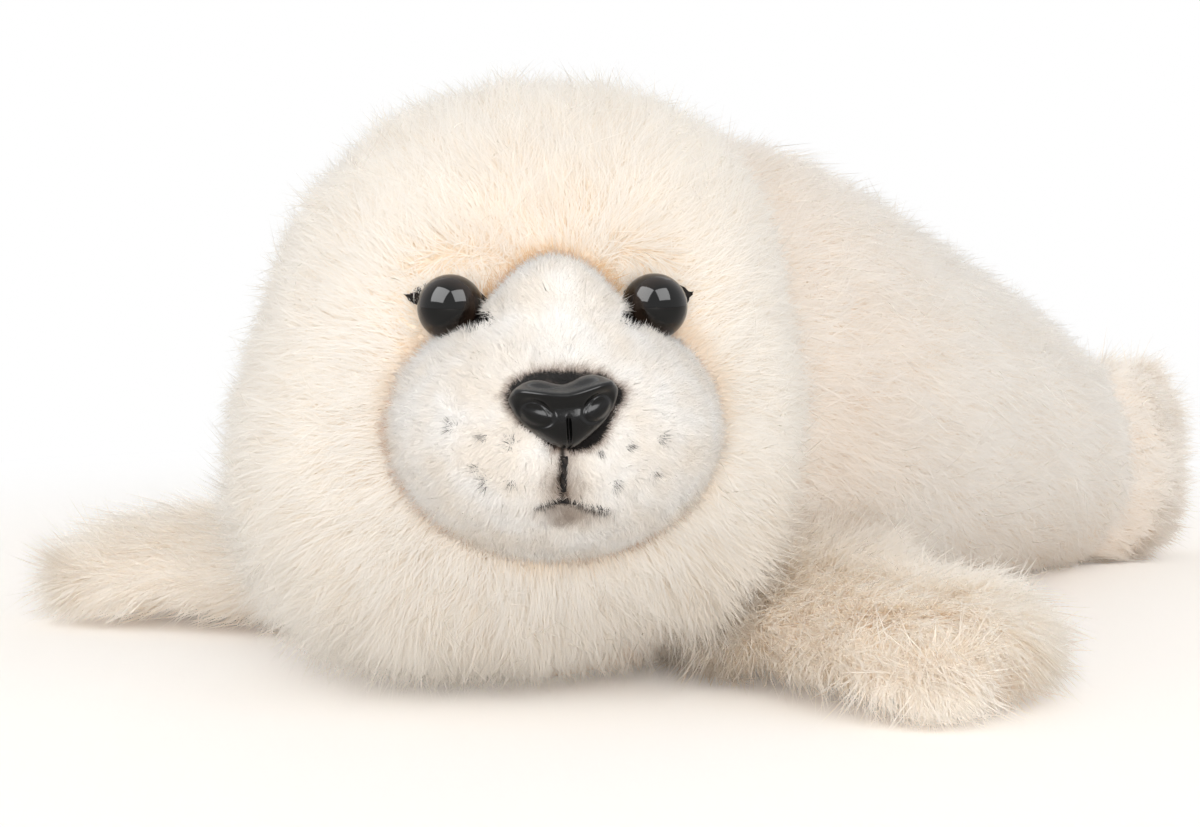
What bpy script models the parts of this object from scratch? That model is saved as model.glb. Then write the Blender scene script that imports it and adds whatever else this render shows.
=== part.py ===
"""A stuffed toy seal pup that lies on its belly with its head turned to its left.

Metres, +Z up. The seal's tail points along +Y, its own left side is +X, and the origin is on the
floor under the middle of its belly. Each stuffed member is one closed solid whose surface is where the
fur looks dense. The eyes and the nose are moulded plastic with a ribbed shank, locked from inside by a
washer.
"""

import math

import bmesh
import bpy
import numpy as np
from mathutils import Euler, Matrix, Vector

# What keeps two neighbouring pieces apart
SEAM_GAP = 0.0003

# The body, nose end to tail end, measured along the spine
BODY_FRONT = -0.136
BODY_BACK = 0.126
BODY_FRONT_ROUND = 0.050
BODY_BACK_ROUND = 0.022
BODY_STATIONS = (-0.136, -0.105, -0.070, -0.035, 0.000, 0.040, 0.080, 0.105, 0.126)
BODY_HALF_WIDTHS = (0.040, 0.050, 0.055, 0.058, 0.057, 0.051, 0.042, 0.033, 0.025)
BODY_TOPS = (0.062, 0.084, 0.100, 0.108, 0.103, 0.088, 0.073, 0.062, 0.053)
BODY_SIDEWAYS = (0.015, 0.012, 0.006, 0.002, 0.000, 0.000, 0.001, 0.004, 0.009)
BODY_SINK = 0.004  # how far the belly would bulge below the floor if it weren't pressed flat

# The head, a furry ball that looks to the seal's left
HEAD_CENTRE = Vector((0.0200, -0.105, 0.0500))
HEAD_HALF_WIDTH = 0.0530
HEAD_HALF_DEPTH = 0.0540
HEAD_CROWN = 0.0665  # from its centre to its top
HEAD_THROAT = 0.0440  # from its centre to its underside
HEAD_LEAN = 0.10  # how far it leans to the seal's left for each unit of height
HEAD_TURN = math.radians(43.5)
CHEEK_SWELL = 0.0030
BROW_SWELL = 0.0022
CROWN_SWELL = 0.0036
FACE_OFFSET = 0.0042  # the face's middle, to the seal's left of the ball's

# The short-pile face panel, in the head's own axes: x to the seal's left, -y out of the face
MUZZLE_CENTRE = Vector((0.0, -0.0440, 0.0043))
MUZZLE_HALF_WIDTH = 0.0294
MUZZLE_HALF_DEPTH = 0.0270
MUZZLE_HALF_HEIGHT = 0.0222
MUZZLE_BRIDGE_RISE = 0.0095  # how far the bridge of the nose climbs above the round pad
MUZZLE_BRIDGE_SPREAD = 0.40  # radians
PHILTRUM_DEPTH = 0.0016
PHILTRUM_SPREAD = 0.10  # radians

# The plastic eyes
EYE_HALF_SPACING = 0.0184  # from the face's middle to the middle of each eye
EYE_HEIGHT = 0.0265  # above the head's centre
EYE_PROUD = 0.0030  # from the head's surface, at the mean of the two eyes, out to each ball's middle
EYE_LOOK_OUT = math.radians(17)
EYE_LOOK_UP = math.radians(6)
EYE_RADIUS = 0.0060
EYE_BACK = 0.0026  # from the ball's centre to its flat back
EYE_SHANK_RADIUS = 0.0019
EYE_SHANK_LENGTH = 0.0150
EYE_HOLLOW_DEPTH = 0.0052
EYE_HOLLOW_SPREAD = 0.19  # radians
EYE_HOLLOW_OUT = 0.856  # of the head's half depth, where each hollow points
RIB_HEIGHT = 0.0003
RIB_PITCH = 0.0028
SHANK_TIP = 0.0020

# The black felt behind each eye, an almond whose two corners show
FELT_HALF_LENGTH = 0.0088
FELT_HALF_HEIGHT = 0.0048
FELT_THICKNESS = 0.0010
FELT_SLOPE = math.radians(16)  # down towards the nose
FELT_HOLE_CLEARANCE = 0.0003

# The lock washers inside
WASHER_RADIUS = 0.0070
WASHER_THICKNESS = 0.0012
WASHER_DEPTH = 0.0065  # from the eye's back to the washer
WASHER_CLEARANCE = 0.0003

# The plastic nose
NOSE_HEIGHT = 0.0099  # above the head's centre
NOSE_PROUD = 0.0004  # from the muzzle's surface out to the middle of the nose
NOSE_HALF_WIDTH = 0.0102
NOSE_HALF_HEIGHT = 0.0064
NOSE_HALF_DEPTH = 0.0052
NOSE_TIP_WIDTH = 0.34  # of the full width, at the bottom
NOSE_NOTCH = 0.0016
NOSE_TILT = math.radians(-14)
NOSTRIL_PLACE = Vector((0.0057, -0.0043, 0.0008))
NOSTRIL_HALF_LENGTH = 0.0026
NOSTRIL_HALF_HEIGHT = 0.0016
NOSTRIL_GROOVE = 0.00045
NOSTRIL_SLOPE = math.radians(34)
NOSE_SLIT_LENGTH = 0.0042
NOSE_SLIT_WIDTH = 0.0007
NOSE_SHANK_RADIUS = 0.0022
NOSE_SHANK_LENGTH = 0.0170

# The black thread under the nose, in the head's axes
THREAD_RADIUS = 0.00055
PHILTRUM_TOP = 0.0020
PHILTRUM_BOTTOM = -0.0042
MOUTH_CORNER = (0.0080, -0.0078)
MOUTH_LEFT_END = (-0.0040, -0.0067)
MOUTH_MIDDLE = -0.0060

# The front flippers: blunt paddles that lie on the floor, pointing out and a little forward
FRONT_ROOT = Vector((0.032, -0.050, 0.0125))
FRONT_LENGTH = 0.086
FRONT_HALF_WIDTH = 0.0295
FRONT_HALF_THICKNESS = 0.0145
FRONT_ROOT_SHARE = 0.78  # of the full width, where the flipper leaves the body
FRONT_SLANT = 0.42  # how much longer its leading edge is, for each unit across
FRONT_DROOP = math.radians(1.5)
LEFT_FRONT_SWEEP = math.radians(17)
RIGHT_FRONT_SWEEP = math.radians(22)

# The hind flippers: two rounded paddles on edge, sole to sole
HIND_ROOT = Vector((-0.0050, 0.0990, 0.0245))
HIND_APART = 0.0082  # half of what lies between the two middles
HIND_LENGTH = 0.050
HIND_RIGHT_FURTHER = 0.0125  # the right one is sewn on this much further back
HIND_HALF_HEIGHT = 0.0255
HIND_HALF_THICKNESS = 0.0080
HIND_ROOT_SHARE = 0.85
HIND_TURN = math.radians(32)  # towards the seal's left

PADDLE_BLUNTNESS = 3.2  # 2 is an oval, more is squarer
FLOOR_CUTTER_SIDE = 0.6


def clear_scene():
    for old in list(bpy.data.objects):
        bpy.data.objects.remove(old)


def collection(name):
    made = bpy.data.collections.new(name)
    bpy.context.scene.collection.children.link(made)
    return made


def material(name, colour, roughness):
    """A plain Principled finish. colour is linear red, green and blue."""
    made = bpy.data.materials.new(name)
    made.use_nodes = True
    shader = made.node_tree.nodes["Principled BSDF"]
    shader.inputs["Base Color"].default_value = (*colour, 1.0)
    shader.inputs["Roughness"].default_value = roughness
    shader.inputs["Metallic"].default_value = 0.0
    return made


def object_in(group, name, data, finish=None):
    made = bpy.data.objects.new(name, data)
    group.objects.link(made)
    if finish is not None:
        data.materials.append(finish)
    return made


def smooth_through(at, stations, values):
    """Values at the places in at, on a smooth curve through the stations.

    Between two stations it is a cubic whose slope at each station is that of the chord across its
    neighbours."""
    stations, values = np.array(stations), np.array(values)
    slopes = np.gradient(values, stations)
    left = np.clip(np.searchsorted(stations, at) - 1, 0, len(stations) - 2)
    span = stations[left + 1] - stations[left]
    t = np.clip((at - stations[left]) / span, 0, 1)
    return (
        values[left] * (2 * t**3 - 3 * t**2 + 1)
        + values[left + 1] * (3 * t**2 - 2 * t**3)
        + slopes[left] * span * (t**3 - 2 * t**2 + t)
        + slopes[left + 1] * span * (t**3 - t**2)
    )


def soft_form(group, name, shape, segments, rings, finish):
    """A stuffed form: a sphere whose points are moved to shape(directions), poles on the form's long way."""
    shell = bmesh.new()
    bmesh.ops.create_uvsphere(shell, u_segments=segments, v_segments=rings, radius=1.0)
    bmesh.ops.triangulate(shell, faces=shell.faces)
    mesh = bpy.data.meshes.new(name)
    shell.to_mesh(mesh)
    shell.free()
    points = np.empty(len(mesh.vertices) * 3)
    mesh.vertices.foreach_get("co", points)
    points = shape(points.reshape(-1, 3))
    mesh.vertices.foreach_set("co", points.astype(np.float32).ravel())
    mesh.update()
    mesh.shade_smooth()
    return object_in(group, name, mesh, finish)


def bump(directions, towards, spread):
    """1 along towards, falling off as a bell with the angle, spread radians wide."""
    towards = np.array(towards) / np.linalg.norm(towards)
    angle = np.arccos(np.clip(directions @ towards, -1, 1))
    return np.exp(-((angle / spread) ** 2))


def body_shape(unit):
    """The body: an oval section carried along the spine, tall at the shoulders and blunt at the rump."""
    share = (1 + unit[:, 2]) / 2
    along = BODY_FRONT + (BODY_BACK - BODY_FRONT) * share
    front = np.clip((along - BODY_FRONT) / BODY_FRONT_ROUND, 0, 1)
    back = np.clip((BODY_BACK - along) / BODY_BACK_ROUND, 0, 1)
    rounding = np.sqrt((1 - (1 - front) ** 2) * (1 - (1 - back) ** 2))
    width = smooth_through(along, BODY_STATIONS, BODY_HALF_WIDTHS) * rounding
    top = smooth_through(along, BODY_STATIONS, BODY_TOPS)
    middle = (top - BODY_SINK) / 2
    height = (top + BODY_SINK) / 2 * rounding
    turn = np.arctan2(unit[:, 0], -unit[:, 1])
    across = smooth_through(along, BODY_STATIONS, BODY_SIDEWAYS) + width * np.sin(turn)
    return np.stack([across, along, middle + height * np.cos(turn)], axis=1)


def head_shape(unit):
    """The head: an oval ball with full cheeks, a low brow and a hollow round each eye."""
    facing = np.stack([unit[:, 0], -unit[:, 2], unit[:, 1]], axis=1)
    tall = np.where(facing[:, 2] > 0, HEAD_CROWN, HEAD_THROAT)
    wide, deep = np.full_like(tall, HEAD_HALF_WIDTH), np.full_like(tall, HEAD_HALF_DEPTH)
    reach = 1 / np.linalg.norm(facing / np.stack([wide, deep, tall], axis=1), axis=1)
    for side in (-1, 1):
        reach += CHEEK_SWELL * bump(facing, (side * 0.85, -0.4, -0.1), 0.5)
        reach += CROWN_SWELL * bump(facing, (side * 0.55, 0.0, 0.8), 0.42)
        eye = (side * EYE_HALF_SPACING + FACE_OFFSET, -HEAD_HALF_DEPTH * EYE_HOLLOW_OUT, EYE_HEIGHT)
        reach -= EYE_HOLLOW_DEPTH * bump(facing, eye, EYE_HOLLOW_SPREAD)
    reach += BROW_SWELL * bump(facing, (0, -0.7, 0.72), 0.3)
    points = facing * reach[:, None]
    points[:, 0] += HEAD_LEAN * points[:, 2] - FACE_OFFSET
    return points


def muzzle_shape(unit):
    """The face panel: a round pad with a bridge that climbs between the eyes and a groove below the nose."""
    facing = np.stack([unit[:, 0], -unit[:, 2], unit[:, 1]], axis=1)
    sizes = np.array([MUZZLE_HALF_WIDTH, MUZZLE_HALF_DEPTH, MUZZLE_HALF_HEIGHT])
    reach = 1 / np.linalg.norm(facing / sizes, axis=1)
    reach += MUZZLE_BRIDGE_RISE * bump(facing, (0, -0.28, 1), MUZZLE_BRIDGE_SPREAD)
    sideways = np.arctan2(facing[:, 0], -facing[:, 1])
    below = np.clip(-facing[:, 2] / 0.3, 0, 1) * (facing[:, 1] < 0)
    reach -= PHILTRUM_DEPTH * below * np.exp(-((sideways / PHILTRUM_SPREAD) ** 2))
    return facing * reach[:, None] + np.array(MUZZLE_CENTRE)


def paddle_shape(length, half_width, half_thickness, root_share, slant):
    """A flipper along +X from its root: narrow where it leaves the body and broad near its blunt tip.

    slant makes it longer on its +Y side."""

    def shape(unit):
        share = (1 + unit[:, 2]) / 2
        ring = (1 - np.abs(unit[:, 2]) ** PADDLE_BLUNTNESS) ** (1 / PADDLE_BLUNTNESS)
        breadth = half_width * (root_share + (1 - root_share) * np.sin(share * math.pi * 0.62))
        turn = np.arctan2(unit[:, 1], unit[:, 0])
        across = breadth * ring * np.sin(turn)
        up = half_thickness * ring * np.cos(turn)
        return np.stack([length * share + slant * across * share, across, -up], axis=1)

    return shape


def placed(made, matrix):
    """Puts a piece made about its own origin where matrix says."""
    made.matrix_world = matrix
    return made


def grown(made, group, by=SEAM_GAP):
    """A hidden cutter: the same shape, larger by the gap that two pieces keep."""
    bpy.context.view_layer.update()
    seen = made.evaluated_get(bpy.context.evaluated_depsgraph_get())
    mesh = bpy.data.meshes.new_from_object(seen)
    cutter = object_in(group, made.name + "_room", mesh)
    cutter.matrix_world = made.matrix_world.copy()
    swell = cutter.modifiers.new("swell", "DISPLACE")
    swell.strength = by
    swell.mid_level = 0.0
    hide(cutter)
    return cutter


def swollen(made, group, centre, by=SEAM_GAP):
    """A hidden cutter: the same round form, each point moved away from its centre by the gap."""
    mesh = made.data.copy()
    points = np.empty(len(mesh.vertices) * 3)
    mesh.vertices.foreach_get("co", points)
    rays = points.reshape(-1, 3) - np.array(centre)
    rays *= 1 + by / np.linalg.norm(rays, axis=1)[:, None]
    mesh.vertices.foreach_set("co", (rays + np.array(centre)).astype(np.float32).ravel())
    cutter = object_in(group, made.name + "_room", mesh)
    cutter.matrix_world = made.matrix_world.copy()
    hide(cutter)
    return cutter


def hide(cutter):
    cutter.hide_render = True
    cutter.display_type = "WIRE"


def cut(made, group, *cutters):
    """Takes all the cutters away from the piece in one cut."""
    saws = bpy.data.collections.new("cutters_of_" + made.name)
    group.children.link(saws)
    for cutter in cutters:
        saws.objects.link(cutter)
    saw = made.modifiers.new("without its neighbours", "BOOLEAN")
    saw.operation = "DIFFERENCE"
    saw.solver = "EXACT"
    saw.operand_type = "COLLECTION"
    saw.collection = saws


def turned(group, name, profile, finish=None, steps=20):
    """A turned piece about its own Z: a profile of (radius, height) that runs from top to bottom."""
    mesh = bpy.data.meshes.new(name)
    points = [(radius, 0.0, height) for radius, height in profile]
    edges = [(i, i + 1) for i in range(len(points) - 1)]
    if points[0] != points[-1] and points[0][0] > 0:
        edges.append((len(points) - 1, 0))
    mesh.from_pydata(points, edges, [])
    made = object_in(group, name, mesh, finish)
    lathe = made.modifiers.new("lathe", "SCREW")
    lathe.steps = lathe.render_steps = steps
    lathe.use_merge_vertices = True
    lathe.merge_threshold = 0.00001
    lathe.use_smooth_shade = True
    return made


def shank_profile(radius, start, length):
    """The ribbed stem below a moulded eye or nose, from its shoulder to its tip."""
    profile = [(radius, start)]
    ribs = int((length - 2 * SHANK_TIP) / RIB_PITCH)
    for rib in range(ribs):
        foot = start - SHANK_TIP - rib * RIB_PITCH
        profile += [
            (radius, foot),
            (radius + RIB_HEIGHT, foot - RIB_PITCH * 0.35),
            (radius, foot - RIB_PITCH * 0.7),
        ]
    return profile + [(radius * 0.6, start - length), (0.0, start - length)]


def eye(group, name, finish):
    """A moulded eye: most of a ball, flat behind, with its shank."""
    edge = math.acos(-EYE_BACK / EYE_RADIUS)
    dome = [
        (EYE_RADIUS * math.sin(edge * i / 9), EYE_RADIUS * math.cos(edge * i / 9))
        for i in range(10)
    ]
    dome[0] = (0.0, EYE_RADIUS)
    stem = shank_profile(EYE_SHANK_RADIUS, -EYE_BACK, EYE_SHANK_LENGTH)
    return turned(group, name, dome + stem, finish)


def eye_room(group, name):
    """What an eye, its felt, its shank and its washer leave free, with the gap all round."""
    radius, bore = EYE_RADIUS + SEAM_GAP, EYE_SHANK_RADIUS + RIB_HEIGHT + SEAM_GAP
    slot_top = -EYE_BACK + SEAM_GAP
    slot_bottom = -EYE_BACK - 2 * SEAM_GAP - FELT_THICKNESS
    slot = FELT_HALF_LENGTH + SEAM_GAP
    washer_top = -EYE_BACK - WASHER_DEPTH + WASHER_THICKNESS / 2 + SEAM_GAP
    washer_bottom = washer_top - WASHER_THICKNESS - 2 * SEAM_GAP
    washer = WASHER_RADIUS + SEAM_GAP
    edge = math.acos(slot_top / radius)
    dome = [(radius * math.sin(edge * i / 9), radius * math.cos(edge * i / 9)) for i in range(1, 10)]
    foot = -EYE_BACK - EYE_SHANK_LENGTH - SEAM_GAP
    steps = [(slot, slot_top), (slot, slot_bottom), (bore, slot_bottom), (bore, washer_top)]
    steps += [(washer, washer_top), (washer, washer_bottom), (bore, washer_bottom), (bore, foot)]
    made = turned(group, name, [(0.0, radius)] + dome + steps + [(0.0, foot)])
    hide(made)
    return made


def washer(group, name, shank_radius, finish):
    inner = shank_radius + RIB_HEIGHT + WASHER_CLEARANCE
    top = WASHER_THICKNESS / 2
    ring = [(inner, top), (WASHER_RADIUS, top), (WASHER_RADIUS, -top), (inner, -top)]
    return turned(group, name, ring, finish)


def disc_room(group, name, radius, top, bottom):
    made = turned(group, name, [(0.0, top), (radius, top), (radius, bottom), (0.0, bottom)])
    hide(made)
    return made


def almond(group, name, finish):
    """The felt behind an eye: two arcs that meet in a corner at each side, with a hole for the shank."""
    curve = bpy.data.curves.new(name, "CURVE")
    curve.dimensions = "2D"
    curve.fill_mode = "BOTH"
    curve.extrude = FELT_THICKNESS / 2
    outline = curve.splines.new("POLY")
    arc = [math.pi * i / 8 for i in range(8)]
    upper = [(FELT_HALF_LENGTH * math.cos(a), FELT_HALF_HEIGHT * math.sin(a) ** 1.4) for a in arc]
    points = upper + [(-x, -y) for x, y in upper]
    outline.points.add(len(points) - 1)
    for point, (x, y) in zip(outline.points, points, strict=True):
        point.co = (x, y, 0.0, 1.0)
    outline.use_cyclic_u = True
    hole = curve.splines.new("POLY")
    radius = EYE_SHANK_RADIUS + RIB_HEIGHT + FELT_HOLE_CLEARANCE
    hole.points.add(15)
    for i, point in enumerate(hole.points):
        angle = 2 * math.pi * i / 16
        point.co = (radius * math.cos(angle), radius * math.sin(angle), 0.0, 1.0)
    hole.use_cyclic_u = True
    return as_mesh(object_in(group, name + "_drawn", curve), group, name, finish)


def as_mesh(drawn, group, name, finish):
    """A curve made a mesh, its caps welded on, in place of the curve."""
    bpy.context.view_layer.update()
    seen = drawn.evaluated_get(bpy.context.evaluated_depsgraph_get())
    mesh = bpy.data.meshes.new_from_object(seen)
    shell = bmesh.new()
    shell.from_mesh(mesh)
    bmesh.ops.remove_doubles(shell, verts=shell.verts, dist=0.000001)
    bmesh.ops.recalc_face_normals(shell, faces=shell.faces)
    shell.to_mesh(mesh)
    shell.free()
    mesh.materials.clear()
    made = object_in(group, name, mesh, finish)
    made.matrix_world = drawn.matrix_world.copy()
    bpy.data.objects.remove(drawn)
    return made


def nose_shape(unit):
    """The nose: broad above and narrow below, with a dip in its upper edge between two lobes."""
    across, out, up = unit[:, 0], -unit[:, 2], unit[:, 1]
    flat = np.sign(across) * np.abs(across) ** 0.85
    rise = np.sign(up) * np.abs(up) ** 0.8
    taper = NOSE_TIP_WIDTH + (1 - NOSE_TIP_WIDTH) * np.clip((rise + 1) / 1.45, 0, 1) ** 0.8
    x = NOSE_HALF_WIDTH * flat * taper
    z = NOSE_HALF_HEIGHT * rise
    z -= NOSE_NOTCH * np.clip(rise, 0, 1) * np.exp(-((x / (0.35 * NOSE_HALF_WIDTH)) ** 2))
    z += 0.4 * NOSE_NOTCH * np.clip(rise, 0, 1) * np.abs(flat)
    return np.stack([x, NOSE_HALF_DEPTH * out, z], axis=1)


def nostril_cutter(group, side):
    """An oval ring that engraves the edge of a nostril."""
    bpy.ops.mesh.primitive_torus_add(
        major_segments=20,
        minor_segments=8,
        major_radius=NOSTRIL_HALF_LENGTH,
        minor_radius=NOSTRIL_GROOVE,
    )
    ring = bpy.context.object
    ring.name = "nostril_ring"
    for old in list(ring.users_collection):
        old.objects.unlink(ring)
    group.objects.link(ring)
    flat = Matrix.Diagonal((1.0, NOSTRIL_HALF_HEIGHT / NOSTRIL_HALF_LENGTH, 1.0, 1.0))
    lean = Matrix.Rotation(-side * NOSTRIL_SLOPE, 4, "Y") @ Matrix.Rotation(math.pi / 2, 4, "X")
    place = Vector((side * NOSTRIL_PLACE.x, NOSTRIL_PLACE.y, NOSTRIL_PLACE.z))
    swing = Matrix.Rotation(side * math.radians(30), 4, "Z")
    ring.data.transform(Matrix.Translation(place) @ swing @ lean @ flat)
    hide(ring)
    return ring


def box_cutter(group, name, low, high):
    shell = bmesh.new()
    bmesh.ops.create_cube(shell, size=1.0)
    size, middle = Vector(high) - Vector(low), (Vector(high) + Vector(low)) / 2
    bmesh.ops.transform(
        shell, matrix=Matrix.Translation(middle) @ Matrix.Diagonal((*size, 1.0)), verts=shell.verts
    )
    mesh = bpy.data.meshes.new(name)
    shell.to_mesh(mesh)
    shell.free()
    made = object_in(group, name, mesh)
    hide(made)
    return made


def thread(group, name, route, finish):
    """A stitch of thread: a round tube along route, with closed ends."""
    curve = bpy.data.curves.new(name, "CURVE")
    curve.dimensions = "3D"
    curve.bevel_depth = THREAD_RADIUS
    curve.bevel_resolution = 2
    curve.use_fill_caps = True
    spline = curve.splines.new("POLY")
    spline.points.add(len(route) - 1)
    for point, place in zip(spline.points, route, strict=True):
        point.co = (*place, 1.0)
    return as_mesh(object_in(group, name + "_drawn", curve), group, name, finish)


def on_front(made, x, z):
    """The point of a form's front that is at x and z in the head's own axes."""
    hit, place, _, _ = made.ray_cast(Vector((x, -0.2, z)), Vector((0, 1, 0)))
    if not hit:
        raise ValueError(f"{made.name} has no surface at {x}, {z}")
    return place


def main():
    clear_scene()
    seal, cutters = collection("plush_seal"), collection("cutters")
    fur = material("cream_fur", (0.87, 0.76, 0.62), 0.95)
    short_pile = material("short_pile", (0.91, 0.83, 0.74), 0.95)
    black = material("black_plastic", (0.012, 0.012, 0.013), 0.12)
    felt = material("black_felt", (0.015, 0.012, 0.011), 0.95)
    white = material("white_nylon", (0.75, 0.75, 0.72), 0.5)
    cotton = material("black_thread", (0.012, 0.011, 0.011), 0.8)

    head_at = (
        Matrix.Translation(HEAD_CENTRE)
        @ Matrix.Rotation(HEAD_TURN, 4, "Z")
        @ Matrix.Translation((FACE_OFFSET, 0, 0))
    )
    head = placed(soft_form(seal, "head", head_shape, 30, 18, fur), head_at)
    muzzle = placed(soft_form(seal, "muzzle", muzzle_shape, 26, 16, short_pile), head_at)
    body = soft_form(seal, "body", body_shape, 28, 22, fur)

    half = FLOOR_CUTTER_SIDE / 2
    floor = box_cutter(cutters, "floor", (-half, -half, -half), (half, half, 0.0))

    head_room = swollen(head, cutters, (-FACE_OFFSET, 0, 0))
    muzzle_room = swollen(muzzle, cutters, MUZZLE_CENTRE)
    body_room = grown(body, cutters)
    cut(body, cutters, head_room, muzzle_room, floor)

    eye_spots = [on_front(head, side * EYE_HALF_SPACING, EYE_HEIGHT) for side in (1, -1)]
    eye_depth = (eye_spots[0].y + eye_spots[1].y) / 2 - EYE_PROUD
    eye_rooms = []
    for side, name in ((1, "left"), (-1, "right")):
        place = Vector((side * EYE_HALF_SPACING, eye_depth, EYE_HEIGHT))
        look = Euler((math.pi / 2 - EYE_LOOK_UP, 0, side * EYE_LOOK_OUT)).to_matrix().to_4x4()
        eye_at = head_at @ Matrix.Translation(place) @ look
        ball = placed(eye(seal, f"{name}_eye", black), eye_at)
        patch_at = Matrix.Translation((0, 0, -EYE_BACK - SEAM_GAP - FELT_THICKNESS / 2))
        patch_at = patch_at @ Matrix.Rotation(side * FELT_SLOPE, 4, "Z")
        patch = placed(almond(seal, f"{name}_eye_felt", felt), eye_at @ patch_at)
        lock = washer(seal, f"{name}_eye_washer", EYE_SHANK_RADIUS, white)
        placed(lock, eye_at @ Matrix.Translation((0, 0, -EYE_BACK - WASHER_DEPTH)))
        eye_rooms.append(placed(eye_room(cutters, f"{name}_eye_room"), eye_at))

    cut(head, cutters, muzzle_room, *eye_rooms)

    nose_place = on_front(muzzle, 0.0, NOSE_HEIGHT) - Vector((0, NOSE_PROUD, 0))
    nose_at = head_at @ Matrix.Translation(nose_place) @ Matrix.Rotation(NOSE_TILT, 4, "X")
    nose = placed(soft_form(seal, "nose", nose_shape, 24, 14, black), nose_at)
    stem = turned(
        cutters,
        "nose_shank",
        [(0.0, NOSE_HALF_DEPTH / 2)]
        + shank_profile(NOSE_SHANK_RADIUS, NOSE_HALF_DEPTH / 2, NOSE_SHANK_LENGTH),
        black,
        steps=16,
    )
    placed(stem, nose_at @ Matrix.Rotation(math.pi / 2, 4, "X"))
    nose_room = grown(nose, cutters)
    hide(stem)
    join = nose.modifiers.new("with its shank", "BOOLEAN")
    join.operation = "UNION"
    join.solver = "EXACT"
    join.object = stem
    lock = washer(seal, "nose_washer", NOSE_SHANK_RADIUS, white)
    lock_depth = NOSE_SHANK_LENGTH - NOSE_HALF_DEPTH / 2 - 2 * SHANK_TIP
    placed(lock, nose_at @ Matrix.Rotation(math.pi / 2, 4, "X") @ Matrix.Translation((0, 0, -lock_depth)))
    foot = -NOSE_SHANK_LENGTH + NOSE_HALF_DEPTH / 2 - SEAM_GAP
    bore = disc_room(cutters, "nose_bore", NOSE_SHANK_RADIUS + RIB_HEIGHT + SEAM_GAP, 0.0, foot)
    bore.matrix_world = stem.matrix_world
    half = WASHER_THICKNESS / 2 + SEAM_GAP
    pocket = disc_room(cutters, "nose_washer_room", WASHER_RADIUS + SEAM_GAP, half, -half)
    pocket.matrix_world = lock.matrix_world
    nose_rooms = [nose_room, bore, pocket]
    rings = [nostril_cutter(cutters, side) for side in (1, -1)]
    for ring in rings:
        ring.matrix_world = nose_at
    slit = box_cutter(
        cutters,
        "nose_slit",
        (-NOSE_SLIT_WIDTH / 2, -2 * NOSE_HALF_DEPTH, -2 * NOSE_HALF_HEIGHT),
        (NOSE_SLIT_WIDTH / 2, -0.72 * NOSE_HALF_DEPTH, -NOSE_HALF_HEIGHT + NOSE_SLIT_LENGTH),
    )
    slit.matrix_world = nose_at
    cut(nose, cutters, *rings, slit)

    heights = np.linspace(PHILTRUM_TOP, PHILTRUM_BOTTOM, 7)
    groove = [on_front(muzzle, 0.0, z) for z in heights]
    stitch = placed(thread(seal, "philtrum_stitch", groove, cotton), head_at)
    lips = []
    for share in np.linspace(-1, 1, 11):
        x, end = MOUTH_CORNER if share > 0 else MOUTH_LEFT_END
        height = MOUTH_MIDDLE + (end - MOUTH_MIDDLE) * abs(share) ** 1.5
        lips.append(on_front(muzzle, x * abs(share), height))
    mouth = placed(thread(seal, "mouth_stitch", lips, cotton), head_at)
    stitch_rooms = [grown(stitch, cutters), grown(mouth, cutters)]
    cut(muzzle, cutters, *eye_rooms, *nose_rooms, *stitch_rooms)

    for side, name, sweep in ((1, "left", LEFT_FRONT_SWEEP), (-1, "right", RIGHT_FRONT_SWEEP)):
        paddle = paddle_shape(
            FRONT_LENGTH,
            FRONT_HALF_WIDTH,
            FRONT_HALF_THICKNESS,
            FRONT_ROOT_SHARE,
            -side * FRONT_SLANT,
        )
        flipper = soft_form(seal, f"{name}_front_flipper", paddle, 20, 14, fur)
        root = Vector((side * FRONT_ROOT.x, FRONT_ROOT.y, FRONT_ROOT.z))
        heading = -sweep if side > 0 else math.pi + sweep
        turn = Matrix.Rotation(heading, 4, "Z") @ Matrix.Rotation(FRONT_DROOP, 4, "Y")
        placed(flipper, Matrix.Translation(root) @ turn)
        cut(flipper, cutters, body_room, head_room, floor)

    paddle = paddle_shape(HIND_LENGTH, HIND_HALF_HEIGHT, HIND_HALF_THICKNESS, HIND_ROOT_SHARE, 0.0)
    for side, name in ((1, "left"), (-1, "right")):
        flipper = soft_form(seal, f"{name}_hind_flipper", paddle, 20, 14, fur)
        heading = Matrix.Rotation(math.pi / 2 - HIND_TURN, 4, "Z")
        further = HIND_RIGHT_FURTHER if side < 0 else 0.0
        step = Matrix.Translation((further, -side * HIND_APART, 0))
        upright = Matrix.Rotation(math.pi / 2, 4, "X")
        placed(flipper, Matrix.Translation(HIND_ROOT) @ heading @ step @ upright)
        cut(flipper, cutters, body_room, floor)


main()
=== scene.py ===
# %% [markdown]
# # A plush seal pup
# The toy is a bag of knitted pile fabric, stuffed firmly, with plastic eyes and a plastic nose locked on
# from inside. What the eye sees is almost only hair, so this script puts a smooth skin inside each stuffed
# form of the CAD part and grows the pile on it as real, tapered blades of mesh.

import math

import bpy
import numpy as np
from mathutils import Euler, Matrix, Vector


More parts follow.
